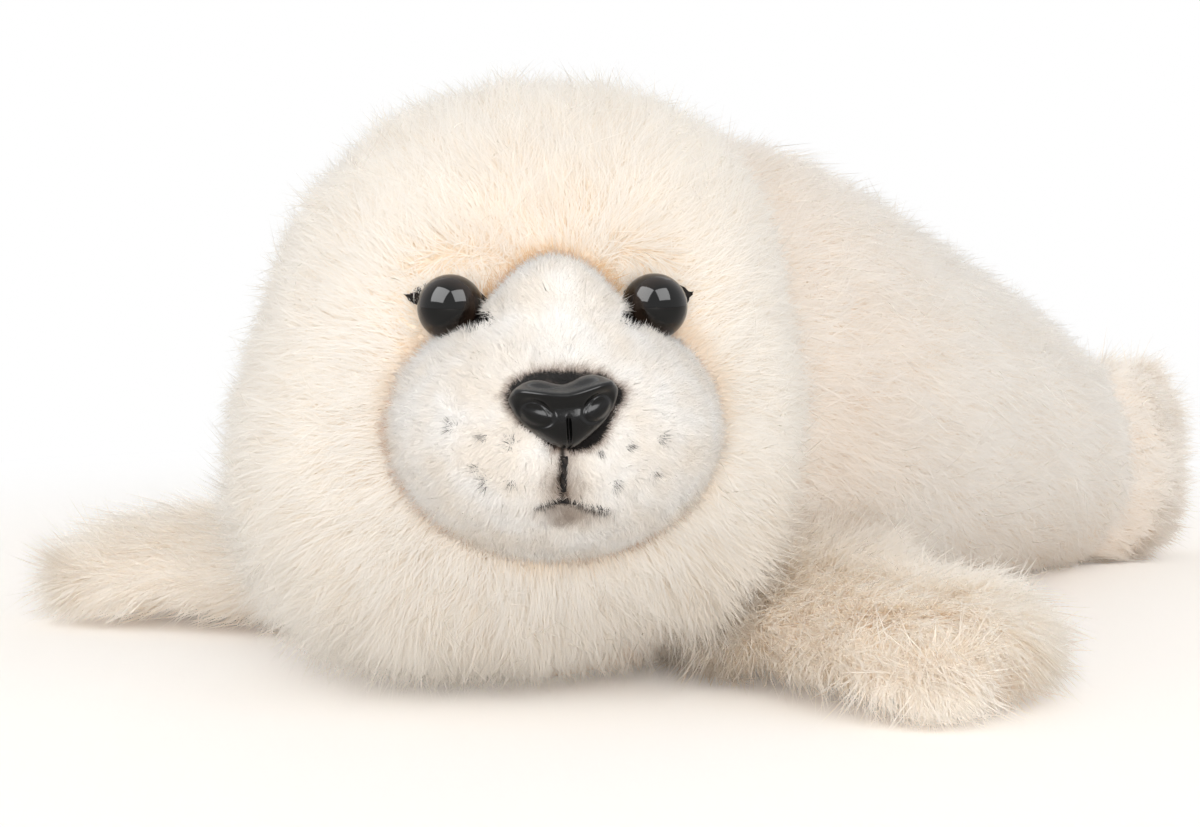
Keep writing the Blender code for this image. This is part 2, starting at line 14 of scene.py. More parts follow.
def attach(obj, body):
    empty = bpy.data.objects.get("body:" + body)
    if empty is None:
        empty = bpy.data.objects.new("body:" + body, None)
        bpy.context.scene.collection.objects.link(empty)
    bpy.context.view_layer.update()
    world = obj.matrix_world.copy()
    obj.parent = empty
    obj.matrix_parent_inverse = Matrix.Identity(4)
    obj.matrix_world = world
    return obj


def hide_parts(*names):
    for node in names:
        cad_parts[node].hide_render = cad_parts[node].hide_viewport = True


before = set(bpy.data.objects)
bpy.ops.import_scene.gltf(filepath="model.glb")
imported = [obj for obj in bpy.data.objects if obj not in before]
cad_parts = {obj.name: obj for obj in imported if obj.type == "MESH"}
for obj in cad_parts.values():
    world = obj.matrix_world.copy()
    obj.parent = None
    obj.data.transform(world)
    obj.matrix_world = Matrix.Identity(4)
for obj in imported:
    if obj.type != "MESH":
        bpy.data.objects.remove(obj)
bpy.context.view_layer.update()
MM = 0.001
print("nodes:", ", ".join(sorted(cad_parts)))

# %% [markdown]
# ## Camera, floor and light
# The photograph was taken with a long lens, 66 cm from the head and 6 cm above its middle. Its background
# is a white sweep, so the floor here is white and the world is white where the camera looks at it. The light
# comes from all round, as in a light tent: the world gives most of it, brightest near the horizon, a low
# panel lifts the chin and the flank, one lamp stands behind and two weak ones above. Two more lamps reach
# only what is glossy. They are the two windows of light in each eye.

# %% Camera
camera = bpy.data.objects.new("camera", bpy.data.cameras.new("camera"))
bpy.context.scene.collection.objects.link(camera)
camera.location = (0.4428, -0.6186, 0.1127)
camera.rotation_euler = Euler((math.radians(84.9), 0.0, math.radians(38.0)))
camera.data.lens = 103.74
camera.data.sensor_width = 36.0
camera.data.clip_start = 0.01
bpy.context.scene.camera = camera
bpy.context.scene.view_settings.view_transform = "Standard"
print("camera stands", round(camera.location.length, 3), "m from the toy's middle")


# %% Colours and nodes
def srgb(code):
    """The linear red, green and blue of a hex colour: each channel undone by the sRGB curve."""
    shares = [int(code[i : i + 2], 16) / 255 for i in (1, 3, 5)]
    return tuple(c / 12.92 if c <= 0.04045 else ((c + 0.055) / 1.055) ** 2.4 for c in shares)


def add(tree, kind, links=(), stops=(), **settings):
    """Adds one node. links are (input, socket) pairs, stops a ramp's (place, hex colour) pairs, and
    settings the node's own fields or input values."""
    node = tree.nodes.new("ShaderNode" + kind)
    for _ in stops[2:]:
        node.color_ramp.elements.new(0.5)
    for element, (place, code) in zip(node.color_ramp.elements if stops else (), stops, strict=True):
        element.position = place
        element.color = (*srgb(code), 1.0)
    for name, value in settings.items():
        if hasattr(node, name):
            setattr(node, name, value)
        else:
            node.inputs[name.replace("_", " ")].default_value = value
    for name, socket in links:
        tree.links.new(socket, node.inputs[name])
    return node


def new_material(name):
    """A material and its node tree, still empty."""
    made = bpy.data.materials.new(name)
    made.use_nodes = True
    made.node_tree.nodes.clear()
    print("material:", name)
    return made, made.node_tree


# %% World: a white studio to look at, a softer one to light with
HORIZON, ZENITH = 1.0, 0.52
world = bpy.data.worlds.new("studio")
bpy.context.scene.world = world
world.use_nodes = True
tree = world.node_tree
tree.nodes.clear()
ray = add(tree, "LightPath")
seen = ray.outputs["Is Camera Ray"]
for kind in ("Is Glossy Ray", "Is Transmission Ray"):
    seen = add(tree, "Math", [(0, seen), (1, ray.outputs[kind])], operation="MAXIMUM").outputs[0]
way = add(tree, "SeparateXYZ", [("Vector", add(tree, "TexCoord").outputs["Generated"])]).outputs["Z"]
dimmed = add(
    tree, "MapRange", [("Value", way)], interpolation_type="SMOOTHSTEP", To_Min=HORIZON, To_Max=ZENITH
)
level = add(tree, "Math", [(0, seen), (1, dimmed.outputs[0])], operation="MAXIMUM")
sky = add(tree, "Background", [("Strength", level.outputs[0])], Color=(1.0, 1.0, 1.0, 1.0))
add(tree, "OutputWorld", [("Surface", sky.outputs[0])])
print("world's strength:", HORIZON, "at the horizon,", ZENITH, "overhead")


# %% Lamps
def softbox(name, azimuth, elevation, distance, size, power):
    """A square lamp that looks at the toy. Azimuth 0 stands at -Y, 90 at +X."""
    lamp = bpy.data.lights.new(name, "AREA")
    lamp.size = size
    lamp.energy = power
    made = bpy.data.objects.new(name, lamp)
    bpy.context.scene.collection.objects.link(made)
    a, e = math.radians(azimuth), math.radians(elevation)
    way = Vector((math.sin(a) * math.cos(e), -math.cos(a) * math.cos(e), math.sin(e)))
    made.location = Vector((0.0, -0.03, 0.05)) + distance * way
    made.rotation_euler = way.to_track_quat("Z", "Y").to_euler()
    return made


softbox("key_softbox", -8, 42, 1.1, 0.55, 0.3)
softbox("fill_softbox", 74, 42, 1.1, 0.50, 0.3)
softbox("back_softbox", 215, 35, 1.6, 1.2, 4.0)
front = softbox("front_panel", 40, 10, 1.6, 0.62, 9.2)
front.visible_glossy = False
for name, azimuth, size, power in (
    ("left_catch_light", -8, 0.90, 20.0),
    ("right_catch_light", 74, 0.74, 12.0),
):
    catch = softbox(name, azimuth, 42, 1.08, size, power)
    catch.visible_diffuse = catch.visible_transmission = False

# %% Floor: white card, smooth but for a grain of a millimetre, that keeps the toy's soft, warm shadow
FADE = (0.19, 0.40)  # metres from the toy's middle: past it the camera sees plain white
floor_card, tree = new_material("white_card_sweep")
ray = add(tree, "LightPath").outputs["Is Camera Ray"]
coords = add(tree, "TexCoord").outputs["Object"]
grain = add(tree, "TexNoise", [("Vector", coords)], Scale=900.0, Detail=2.0).outputs["Fac"]
shade = add(tree, "ValToRGB", [("Fac", grain)], [(0.3, "#F9F8F6"), (0.7, "#FAF9F7")]).outputs["Color"]
pale = add(tree, "BsdfDiffuse", [("Color", shade)], Roughness=0.5)
lift = add(tree, "Emission", Color=(0.140, 0.116, 0.096, 1.0), Strength=1.0)
both = add(tree, "AddShader", [(0, pale.outputs[0]), (1, lift.outputs[0])])
away = add(tree, "VectorMath", [(0, coords)], operation="LENGTH").outputs["Value"]
fade = add(
    tree, "MapRange", [("Value", away)], interpolation_type="SMOOTHSTEP", From_Min=FADE[0], From_Max=FADE[1]
)
white = add(tree, "Emission", Color=(1.0, 1.0, 1.0, 1.0), Strength=1.0)
card = add(tree, "MixShader", [(0, fade.outputs[0]), (1, both.outputs[0]), (2, white.outputs[0])])
plain = add(tree, "BsdfDiffuse", Color=(0.93, 0.90, 0.86, 1.0))
pick = add(tree, "MixShader", [(0, ray), (1, plain.outputs[0]), (2, card.outputs[0])])
add(tree, "OutputMaterial", [("Surface", pick.outputs[0])])
sweep = bpy.data.meshes.new("floor")
sweep.from_pydata([(-4, -4, 0), (4, -4, 0), (4, 4, 0), (-4, 4, 0)], [], [(0, 1, 2, 3)])
sweep.materials.append(floor_card)
floor = bpy.data.objects.new("floor", sweep)
bpy.context.scene.collection.objects.link(floor)

# %% [markdown]
# ## The stuffed forms
# Each form of the part is a sphere of directions moved by a formula, so the same formulas are written here
# with numpy. They give a point for any direction, which is just what a coat of hair needs: a root can stand
# anywhere on the form, and its normal comes from two tiny steps to the side. Roots could also be picked on
# the CAD part's facets, but then the coat would show the facets.


# %% Small helpers for arrays of vectors
def normalised(v):
    """v at length 1."""
    return v / np.maximum(np.linalg.norm(v, axis=-1, keepdims=True), 1e-12)


def moved(matrix, points):
    """points carried by a 4 x 4 matrix."""
    m = np.array(matrix)
    return points @ m[:3, :3].T + m[:3, 3]


def along_surface(v, normal):
    """What is left of v once its part along the normal is taken away."""
    return v - normal * (v * normal).sum(axis=1, keepdims=True)


def eased(value, start, end):
    """0 before start, 1 after end, and a smooth S between them."""
    t = np.clip((value - start) / (end - start), 0, 1)
    return t * t * (3 - 2 * t)


def bump(facing, towards, spread):
    """1 along towards, falling off as a bell with the angle, spread radians wide."""
    towards = np.array(towards) / np.linalg.norm(towards)
    angle = np.arccos(np.clip(facing @ towards, -1, 1))
    return np.exp(-((angle / spread) ** 2))


def waves(points, pitch, seed):
    """A smooth random vector at each point: eight plane waves in random directions, about pitch long."""
    rng = np.random.default_rng(seed)
    total = np.zeros_like(points)
    for _ in range(8):
        way = normalised(rng.normal(size=3)) * 2 * math.pi / (pitch * rng.uniform(0.7, 1.4))
        total += rng.normal(size=3) * np.sin(points @ way + rng.uniform(0, 6.3))[:, None]
    return total / 3


# %% The body: an oval section carried along the spine
BODY_FRONT, BODY_BACK = -0.136, 0.126
STATIONS = np.array((-0.136, -0.105, -0.070, -0.035, 0.000, 0.040, 0.080, 0.105, 0.126))
HALF_WIDTHS = np.array((0.040, 0.050, 0.055, 0.058, 0.057, 0.051, 0.042, 0.033, 0.025))
TOPS = np.array((0.062, 0.084, 0.100, 0.108, 0.103, 0.088, 0.073, 0.062, 0.053))
SIDEWAYS = np.array((0.015, 0.012, 0.006, 0.002, 0.000, 0.000, 0.001, 0.004, 0.009))
BODY_SINK = 0.004


def smooth_through(at, values):
    """A smooth curve through the stations: between two of them a cubic with the neighbours' slopes."""
    slopes = np.gradient(values, STATIONS)
    left = np.clip(np.searchsorted(STATIONS, at) - 1, 0, len(STATIONS) - 2)
    span = STATIONS[left + 1] - STATIONS[left]
    t = np.clip((at - STATIONS[left]) / span, 0, 1)
    return (
        values[left] * (2 * t**3 - 3 * t**2 + 1)
        + values[left + 1] * (3 * t**2 - 2 * t**3)
        + slopes[left] * span * (t**3 - 2 * t**2 + t)
        + slopes[left + 1] * span * (t**3 - t**2)
    )


def body_section(along):
    """(sideways, half width, middle height, half height) of the body's oval section at places along it."""
    front = np.clip((along - BODY_FRONT) / 0.050, 0, 1)
    back = np.clip((BODY_BACK - along) / 0.022, 0, 1)
    rounding = np.sqrt((1 - (1 - front) ** 2) * (1 - (1 - back) ** 2))
    top = smooth_through(along, TOPS)
    width = smooth_through(along, HALF_WIDTHS) * rounding
    return smooth_through(along, SIDEWAYS), width, (top - BODY_SINK) / 2, (top + BODY_SINK) / 2 * rounding


def body_shape(unit):
    """The oval section at each place along, reached at the direction's own turn about the spine."""
    along = BODY_FRONT + (BODY_BACK - BODY_FRONT) * (1 + unit[:, 2]) / 2
    side, width, middle, height = body_section(along)
    turn = np.arctan2(unit[:, 0], -unit[:, 1])
    return np.stack([side + width * np.sin(turn), along, middle + height * np.cos(turn)], axis=1)


def depth_in_body(points):
    """How far below the body's surface each point is, in metres, roughly; below zero is outside."""
    side, width, middle, height = body_section(np.clip(points[:, 1], BODY_FRONT, BODY_BACK))
    width, height = np.maximum(width, 1e-4), np.maximum(height, 1e-4)
    share = np.hypot((points[:, 0] - side) / width, (points[:, 2] - middle) / height)
    outside = np.maximum(BODY_FRONT - points[:, 1], points[:, 1] - BODY_BACK)
    return np.where(outside > 0, -outside, (1 - share) * np.minimum(width, height))


print("the body's form is", round((BODY_BACK - BODY_FRONT) * 1000), "mm long")


# %% The head, in its own axes: x to the seal's left, -y out of the face, z up
HEAD_CENTRE = Vector((0.0200, -0.105, 0.0500))
HEAD_TURN = math.radians(43.5)
FACE_OFFSET = 0.0042
HEAD_LEAN = 0.10
EYE_ACROSS, EYE_UP = 0.0184, 0.0265
HEAD_AT = (
    Matrix.Translation(HEAD_CENTRE)
    @ Matrix.Rotation(HEAD_TURN, 4, "Z")
    @ Matrix.Translation((FACE_OFFSET, 0, 0))
)
HEAD_FROM = HEAD_AT.inverted()


def head_reach(facing):
    """How far the head's surface is from its middle: an oval ball, full cheeks, a brow, a hollow per eye."""
    tall = np.where(facing[:, 2] > 0, 0.0665, 0.0440)
    wide, deep = np.full_like(tall, 0.0530), np.full_like(tall, 0.0540)
    reach = 1 / np.linalg.norm(facing / np.stack([wide, deep, tall], axis=1), axis=1)
    for side in (-1, 1):
        reach += 0.0030 * bump(facing, (side * 0.85, -0.4, -0.1), 0.5)
        reach += 0.0036 * bump(facing, (side * 0.55, 0.0, 0.8), 0.42)
        reach -= 0.0052 * bump(facing, (side * EYE_ACROSS + FACE_OFFSET, -0.0540 * 0.856, EYE_UP), 0.19)
    return reach + 0.0022 * bump(facing, (0, -0.7, 0.72), 0.3)


def head_shape(unit):
    """The head's surface, leaning a little to the seal's left with height."""
    facing = np.stack([unit[:, 0], -unit[:, 2], unit[:, 1]], axis=1)
    points = facing * head_reach(facing)[:, None]
    points[:, 0] += HEAD_LEAN * points[:, 2] - FACE_OFFSET
    return moved(HEAD_AT, points)


def depth_along_ray(own, reach):
    """How far below a form's surface points in its own axes are, on the ray from its middle through each."""
    far = np.linalg.norm(own, axis=1)
    return reach(own / np.maximum(far, 1e-9)[:, None]) - far


def depth_in_head(points):
    """How far below the head's surface each point is, in metres."""
    own = moved(HEAD_FROM, points)
    own[:, 0] -= HEAD_LEAN * own[:, 2] - FACE_OFFSET
    return depth_along_ray(own, head_reach)


# %% The short-pile face panel, in the head's axes
MUZZLE_CENTRE = np.array((0.0, -0.0440, 0.0043))


def muzzle_reach(facing):
    """A round pad, a bridge that climbs between the eyes, and a groove below the nose."""
    reach = 1 / np.linalg.norm(facing / np.array([0.0294, 0.0270, 0.0222]), axis=1)
    reach += 0.0095 * bump(facing, (0, -0.28, 1), 0.40)
    sideways = np.arctan2(facing[:, 0], -facing[:, 1])
    below = np.clip(-facing[:, 2] / 0.3, 0, 1) * (facing[:, 1] < 0) * (1 - eased(-facing[:, 2], 0.5, 0.8))
    return reach - 0.0016 * below * np.exp(-((sideways / 0.10) ** 2))


def muzzle_shape(unit):
    """The face panel's surface."""
    facing = np.stack([unit[:, 0], -unit[:, 2], unit[:, 1]], axis=1)
    return moved(HEAD_AT, facing * muzzle_reach(facing)[:, None] + MUZZLE_CENTRE)


def depth_in_muzzle(points):
    """How far below the face panel's surface each point is, in metres."""
    return depth_along_ray(moved(HEAD_FROM, points) - MUZZLE_CENTRE, muzzle_reach)


# %% The flippers: blunt paddles along their own +X
def paddle(matrix, length, half_width, half_thickness, root_share, slant):
    """A paddle's shape: an oval section, narrow at the root, whose outline ends bluntly, put at matrix."""

    def shape(unit):
        share = (1 + unit[:, 2]) / 2
        ring = (1 - np.abs(unit[:, 2]) ** 3.2) ** (1 / 3.2)
        breadth = half_width * (root_share + (1 - root_share) * np.sin(share * math.pi * 0.62))
        turn = np.arctan2(unit[:, 1], unit[:, 0])
        across, up = breadth * ring * np.sin(turn), half_thickness * ring * np.cos(turn)
        return moved(matrix, np.stack([length * share + slant * across * share, across, -up], axis=1))

    return shape


FRONT_AT, HIND_AT = {}, {}
for side, name, sweep_angle in ((1, "left", 17.0), (-1, "right", 22.0)):
    heading = math.radians(-sweep_angle if side > 0 else 180.0 + sweep_angle)
    turn = Matrix.Rotation(heading, 4, "Z") @ Matrix.Rotation(math.radians(1.5), 4, "Y")
    FRONT_AT[name] = Matrix.Translation((side * 0.032, -0.050, 0.0125)) @ turn
    step = Matrix.Translation((0.0125 if side < 0 else 0.0, -side * 0.0082, 0))
    heading = Matrix.Rotation(math.radians(58.0), 4, "Z")
    upright = Matrix.Rotation(math.pi / 2, 4, "X")
    HIND_AT[name] = Matrix.Translation((-0.0050, 0.0990, 0.0245)) @ heading @ step @ upright
FRONT_SHAPE = {
    name: paddle(FRONT_AT[name], 0.086, 0.0295, 0.0145, 0.78, -0.42 * side)
    for side, name in ((1, "left"), (-1, "right"))
}
HIND_SHAPE = {name: paddle(HIND_AT[name], 0.050, 0.0255, 0.0080, 0.85, 0.0) for name in HIND_AT}


# %% Where a direction lands on a form, and which way that spot faces
def surface(shape, unit, step=0.002):
    """(points, outward normals, area shares) of a form: the normal is the cross product of two tiny steps."""
    helper = np.where(np.abs(unit[:, 2:]) < 0.9, [[0.0, 0.0, 1.0]], [[1.0, 0.0, 0.0]])
    east = normalised(np.cross(helper, unit))
    north = np.cross(unit, east)
    over = shape(normalised(unit + step * east)) - shape(normalised(unit - step * east))
    up = shape(normalised(unit + step * north)) - shape(normalised(unit - step * north))
    normal = np.cross(over, up)
    area = np.linalg.norm(normal, axis=1)
    return shape(unit), normal / np.maximum(area, 1e-15)[:, None], area


def directions(count):
    """count even directions: a spiral from pole to pole whose turns keep the golden angle."""
    i = np.arange(count) + 0.5
    z = 1 - 2 * i / count
    turn = i * math.pi * (3 - math.sqrt(5))
    ring = np.sqrt(1 - z * z)
    return np.stack([ring * np.cos(turn), ring * np.sin(turn), z], axis=1)


# %% [markdown]
# ## How long the pile is, and which way it lies
# Long-pile plush leaves the knit at a slant, and the maker brushes it: away from the face on the head, back
# along the body, out along the flippers. It is clipped short round the eyes and along the face panel's
# seam. These fields say so for any point, and both the skin's depth and the hairs read them.

# %% The face panel's seam, as places across and up from the face's middle, in millimetres
SEAM = np.array(
    [(29.6, 4.0), (29.3, 12.9), (27.3, 19.2), (20.0, 25.0), (11.2, 29.5), (6.5, 32.9), (0.0, 34.9)]
    + [(-6.0, 32.9), (-10.4, 29.6), (-18.5, 25.0), (-23.9, 20.7), (-27.5, 15.4), (-28.6, 4.9)]
    + [(-26.1, -1.9), (-20.9, -8.9), (-11.9, -14.5), (-0.9, -17.3), (8.3, -17.0), (18.8, -11.5), (26.9, -5.1)]
)
SEAM_MIDDLE = np.array((0.5, 9.0))
EYE_PLACES = {"left": Vector((0.06711, -0.12181, 0.0765)), "right": Vector((0.04042, -0.14714, 0.0765))}
NOSE_PLACE = Vector((0.07156, -0.15324, 0.0599))
EYE_RADIUS = 0.0060


def beyond_seam(own):
    """How far outside the face panel's seam a point in the head's axes is, in metres, seen from the front."""
    ray = SEAM - SEAM_MIDDLE
    angle = np.arctan2(ray[:, 1], ray[:, 0])
    order = np.argsort(angle)
    place = own[:, [0, 2]] * 1000 - SEAM_MIDDLE
    edge = np.interp(
        np.arctan2(place[:, 1], place[:, 0]),
        angle[order],
        np.hypot(ray[:, 0], ray[:, 1])[order],
        period=2 * math.pi,
    )
    out_by = (np.hypot(place[:, 0], place[:, 1]) - edge) * MM
    return np.where(own[:, 1] < -0.012, out_by, 0.05)


def from_eyes(points):
    """How far each point is from the nearer eye's edge, in metres."""
    gaps = [np.linalg.norm(points - np.array(place), axis=1) for place in EYE_PLACES.values()]
    return np.minimum(*gaps) - EYE_RADIUS


def way_from_eye(points):
    """The way to each point from the middle of the nearer eye."""
    ways = np.stack([points - np.array(place) for place in EYE_PLACES.values()])
    return ways[np.linalg.norm(ways, axis=2).argmin(axis=0), np.arange(len(points))]


def on_felt(own):
    """Whether a point in the head's axes is on the felt corners, which slant down towards the nose."""
    hit = np.zeros(len(own), bool)
    for side in (-1, 1):
        across = (own[:, 0] * side - EYE_ACROSS) * 1000
        up = own[:, 2] * 1000 - EYE_UP * 1000 - 0.24 * across
        reach, tall = np.where(across > 0, 7.7, 7.4), np.where(across > 0, 2.6, 4.2)
        hit |= (np.abs(across) / reach) ** 1.3 + (np.abs(up) / tall) ** 1.3 < 1
    return hit & (own[:, 1] < 0)


def head_pile(points):
    """The head's pile length: short at the seam and the eyes, full 20 mm away,
    and longest under the chin, where it covers the throat."""
    own = moved(HEAD_FROM, points)
    seam, eyes = beyond_seam(own), from_eyes(points)
    cheek = 1 - eased(own[:, 2], 0.016, 0.026)
    full = 0.0052 + 0.0033 * cheek + (0.0076 - 0.0033 * cheek) * eased(seam, 0.0, 0.022)
    full += 0.0060 * eased(-own[:, 2], 0.010, 0.034) * eased(seam, 0.002, 0.016)
    clipped = 0.0018 + (0.62 + 0.9 * eased(own[:, 2], 0.0290, 0.0330)) * np.maximum(eyes, 0)
    return np.minimum(full, clipped)


def body_pile(points):
    """The body's pile length: full on the back, shorter under the belly and at the rump."""
    length = 0.0130 - 0.0030 * eased(points[:, 1], 0.08, 0.125)
    return length * (0.55 + 0.45 * eased(points[:, 2], 0.004, 0.030))


def front_pile(points):
    """The front flippers' pile length: longest over the tips, shorter where it lies on the floor."""
    length = 0.0132 + 0.0046 * eased(np.abs(points[:, 0]), 0.065, 0.108)
    length += 0.0070 * (1 - eased(np.abs(points[:, 0]), 0.045, 0.075))
    return length * (0.85 + 0.15 * eased(points[:, 2], 0.002, 0.010))


def hind_pile(points):
    """The hind flippers' pile length: longer over the tips."""
    return 0.0085 + 0.0030 * eased(points[:, 1], 0.122, 0.142)


INSET = 0.42  # of the pile's length: from where the pile looks dense down to the knit
DEEPEST = 0.0135  # a lock longer than this is rooted no deeper than one of this length
crown = head_shape(np.array([[0.0, 1.0, 0.0]]))
print("the pile on the crown is", round(head_pile(crown)[0] * 1000, 1), "mm long")


# %% [markdown]
# ## Skins
# Under the hair is the knitted backing, pulled smooth by the stuffing. A cloth simulation could stuff it,
# but a taut bag only comes back to its pattern's form, which is known. So a grid of directions through the
# same formula, pushed in by a share of the pile's length, gives a closed skin that fits the CAD part.


# %% Closed surfaces from rings
def closed_surface(name, rings, first, last):
    """A closed mesh: rings of points from one pole to the other, quads between them, fans at the poles."""
    rows, cols, _ = rings.shape
    index = np.arange(rows * cols).reshape(rows, cols)
    a, b = index[:-1], index[1:]
    quads = np.stack([a, b, np.roll(b, -1, axis=1), np.roll(a, -1, axis=1)], axis=2).reshape(-1, 4)
    top, bottom = index[0], index[-1]
    start = np.full(cols, rows * cols)
    fans = np.concatenate(
        [
            np.stack([start, top, np.roll(top, -1)], axis=1),
            np.stack([start + 1, np.roll(bottom, -1), bottom], axis=1),
        ]
    )
    points = np.concatenate([rings.reshape(-1, 3), [first], [last]])
    mesh = bpy.data.meshes.new(name)
    mesh.from_pydata(points.tolist(), [], quads.tolist() + fans.tolist())
    mesh.shade_smooth()
    made = bpy.data.objects.new(name, mesh)
    bpy.context.scene.collection.objects.link(made)
    return made


def globe(cols, rows):
    """Directions on rings round Z, from near the top pole to near the bottom one: rows x cols of them."""
    fall = (np.arange(rows) + 1) * math.pi / (rows + 1)
    turn = np.arange(cols) * 2 * math.pi / cols
    fall, turn = np.meshgrid(fall, turn, indexing="ij")
    return np.stack([np.sin(fall) * np.cos(turn), np.sin(fall) * np.sin(turn), np.cos(fall)], axis=2)


def skin(name, shape, pile, cols, rows, inset=INSET):
    """A form's knitted backing: the form pushed in along its normals, and flat where it meets the floor."""
    unit = globe(cols, rows).reshape(-1, 3)
    unit = np.concatenate([unit, normalised(np.array([[0.002, 0, 1.0], [0.002, 0, -1.0]]))])
    points, normal, _ = surface(shape, unit)
    points = points - normal * inset * pile(points)[:, None]
    points[:, 2] = np.maximum(points[:, 2], 0.0006)
    made = closed_surface(name, points[:-2].reshape(rows, cols, 3), points[-2], points[-1])
    print(name, "skin:", len(made.data.polygons), "faces")
    return made


# %% [markdown]
# ## The coat
# Real plush pile is about 0.05 mm thick, far under a pixel, so each blade here stands for a few fibres and
# is about 0.3 mm wide at its foot. Fibres stick together in locks, so the blades are sown lock by lock, share
# their lock's length and swing, and lean together towards its tip. A long blade is bent and has five points
# and three triangles, a fine one three points and one triangle, and the normals lean towards the skin's,
# which shades the coat as one soft surface. Hair curves or a bump would be less work, but curves don't leave
# Blender as a mesh, and a bump leaves the outline bald.


# %% Sowing and combing
def coat(name, shape, comb, locks, hairs, width, seed, gather, reach, bent):
    """Blades of pile on a form: hairs blades round each of locks centres, bent or straight.

    comb(points, normals) gives (nap direction, length, lift in radians, tint, which roots to keep)."""
    rng = np.random.default_rng(seed)
    spacing = math.sqrt(4 * math.pi / locks)
    centre = normalised(directions(locks) + rng.normal(0, 0.25 * spacing, (locks, 3)))
    lock = np.repeat(np.arange(locks), hairs)
    unit = normalised(centre[lock] + rng.normal(0, 0.55 * spacing, (len(lock), 3)))
    point, normal, area = surface(shape, unit)
    nap, length, lift, tint, keep = comb(point, normal)
    keep &= area > np.percentile(area, 92) * rng.random(len(area))  # thins the poles, so the coat is even
    middle = shape(centre)[lock]
    swing = rng.normal(0, 0.26, (locks, 3))[lock] + rng.normal(0, 0.30, (len(lock), 3))
    grow = rng.uniform(0.80, 1.12, locks)[lock] * rng.uniform(0.70, 1.15, len(lock)) * reach
    shade = np.clip(rng.normal(0.5, 0.16, locks)[lock] + rng.normal(0, 0.16, len(lock)), 0, 1)
    rise = lift + rng.normal(0, 0.16, locks)[lock] + rng.normal(0, 0.14, len(lock))
    roll = rng.normal(0, 0.55, len(lock))
    lie = rng.uniform(0.0003, 0.0030, len(lock))
    part = [v[keep] for v in (point, normal, nap, length, tint, middle, swing, grow, shade, rise, roll, lie)]
    point, normal, nap, length, tint, middle, swing, grow, shade, rise, roll, lie = part

    root = point - normal * (INSET * np.minimum(length, DEEPEST))[:, None]
    flow = normalised(along_surface(nap + swing + 0.45 * waves(point, 0.016, seed), normal))
    rise = np.clip(rise, 0.12, 1.35)[:, None]
    long = (length * grow)[:, None]
    up = flow * np.cos(rise) + normal * np.sin(rise)
    down = normalised(flow + normal * np.tan(rise * 0.35) + np.array([0, 0, -0.12]))
    pull = along_surface(middle - point, normal) * gather * (long / 0.012).clip(0, 1)
    bend = root + long * (0.375 * up + 0.125 * down) + 0.30 * pull
    tip = root + long * (0.5 * up + 0.5 * down) + pull
    # Blades that reach the floor lie flat on it, each at its own small height.
    root[:, 2] = np.maximum(root[:, 2], 0.0004)
    bend[:, 2] = np.maximum(bend[:, 2], 0.0003 + 0.5 * lie)
    tip[:, 2] = np.maximum(tip[:, 2], lie)

    axis = normalised(tip - root)
    side = normalised(np.cross(axis, normal))
    side = side * np.cos(roll)[:, None] + np.cross(axis, side) * np.sin(roll)[:, None]
    half = side * width / 2
    if bent:
        corners = [root - half, root + half, bend - 0.75 * half, bend + 0.75 * half, tip]
        faces, share = [(0, 1, 2), (1, 3, 2), (2, 3, 4)], [0, 0, 0.5, 0.5, 1.0]
    else:
        corners, faces, share = [root - half, root + half, tip], [(0, 1, 2)], [0, 0, 1.0]
    faced = normalised(0.85 * normal + 0.22 * np.cross(side, axis))
    count = len(root)
    values = np.empty((count, len(share), 3))
    values[:, :, 0] = np.array(share)
    values[:, :, 1] = shade[:, None]
    values[:, :, 2] = tint[:, None]
    made = blades(name, np.stack(corners, axis=1), faces, np.repeat(faced, len(share), axis=0))
    spread = made.data.attributes.new("coat", "FLOAT_VECTOR", "POINT")
    spread.data.foreach_set("vector", values.astype(np.float32).ravel())
    print(name, "pile:", count, "blades,", count * len(faces), "triangles")
    return made


def blades(name, corners, faces, normals):
    """A mesh of many like blades, and a UV map with a small square of its own for each blade."""
    count, points_each, _ = corners.shape
    faces = np.array(faces)
    loops = (np.arange(count)[:, None, None] * points_each + faces).reshape(-1)
    mesh = bpy.data.meshes.new(name)
    mesh.vertices.add(count * points_each)
    mesh.vertices.foreach_set("co", corners.astype(np.float32).ravel())
    mesh.loops.add(len(loops))
    mesh.loops.foreach_set("vertex_index", loops.astype(np.int32))
    mesh.polygons.add(count * len(faces))
    mesh.polygons.foreach_set("loop_start", np.arange(0, len(loops), 3, dtype=np.int32))
    mesh.update(calc_edges=True)
    mesh.shade_smooth()
    side = math.ceil(math.sqrt(count))
    spot = np.array([(0.1, 0.05), (0.9, 0.05), (0.15, 0.5), (0.85, 0.5), (0.5, 0.97)])
    if points_each == 3:
        spot = spot[[0, 1, 4]]
    cell = np.stack([np.arange(count) % side, np.arange(count) // side], axis=1)
    places = ((cell[:, None, :] + spot[None]) / side).reshape(-1, 2)
    mesh.uv_layers.new(name="OFBake").data.foreach_set("uv", places[loops].astype(np.float32).ravel())
    mesh.normals_split_custom_set_from_vertices(normals.astype(np.float32))
    made = bpy.data.objects.new(name, mesh)
    bpy.context.scene.collection.objects.link(made)
    return made


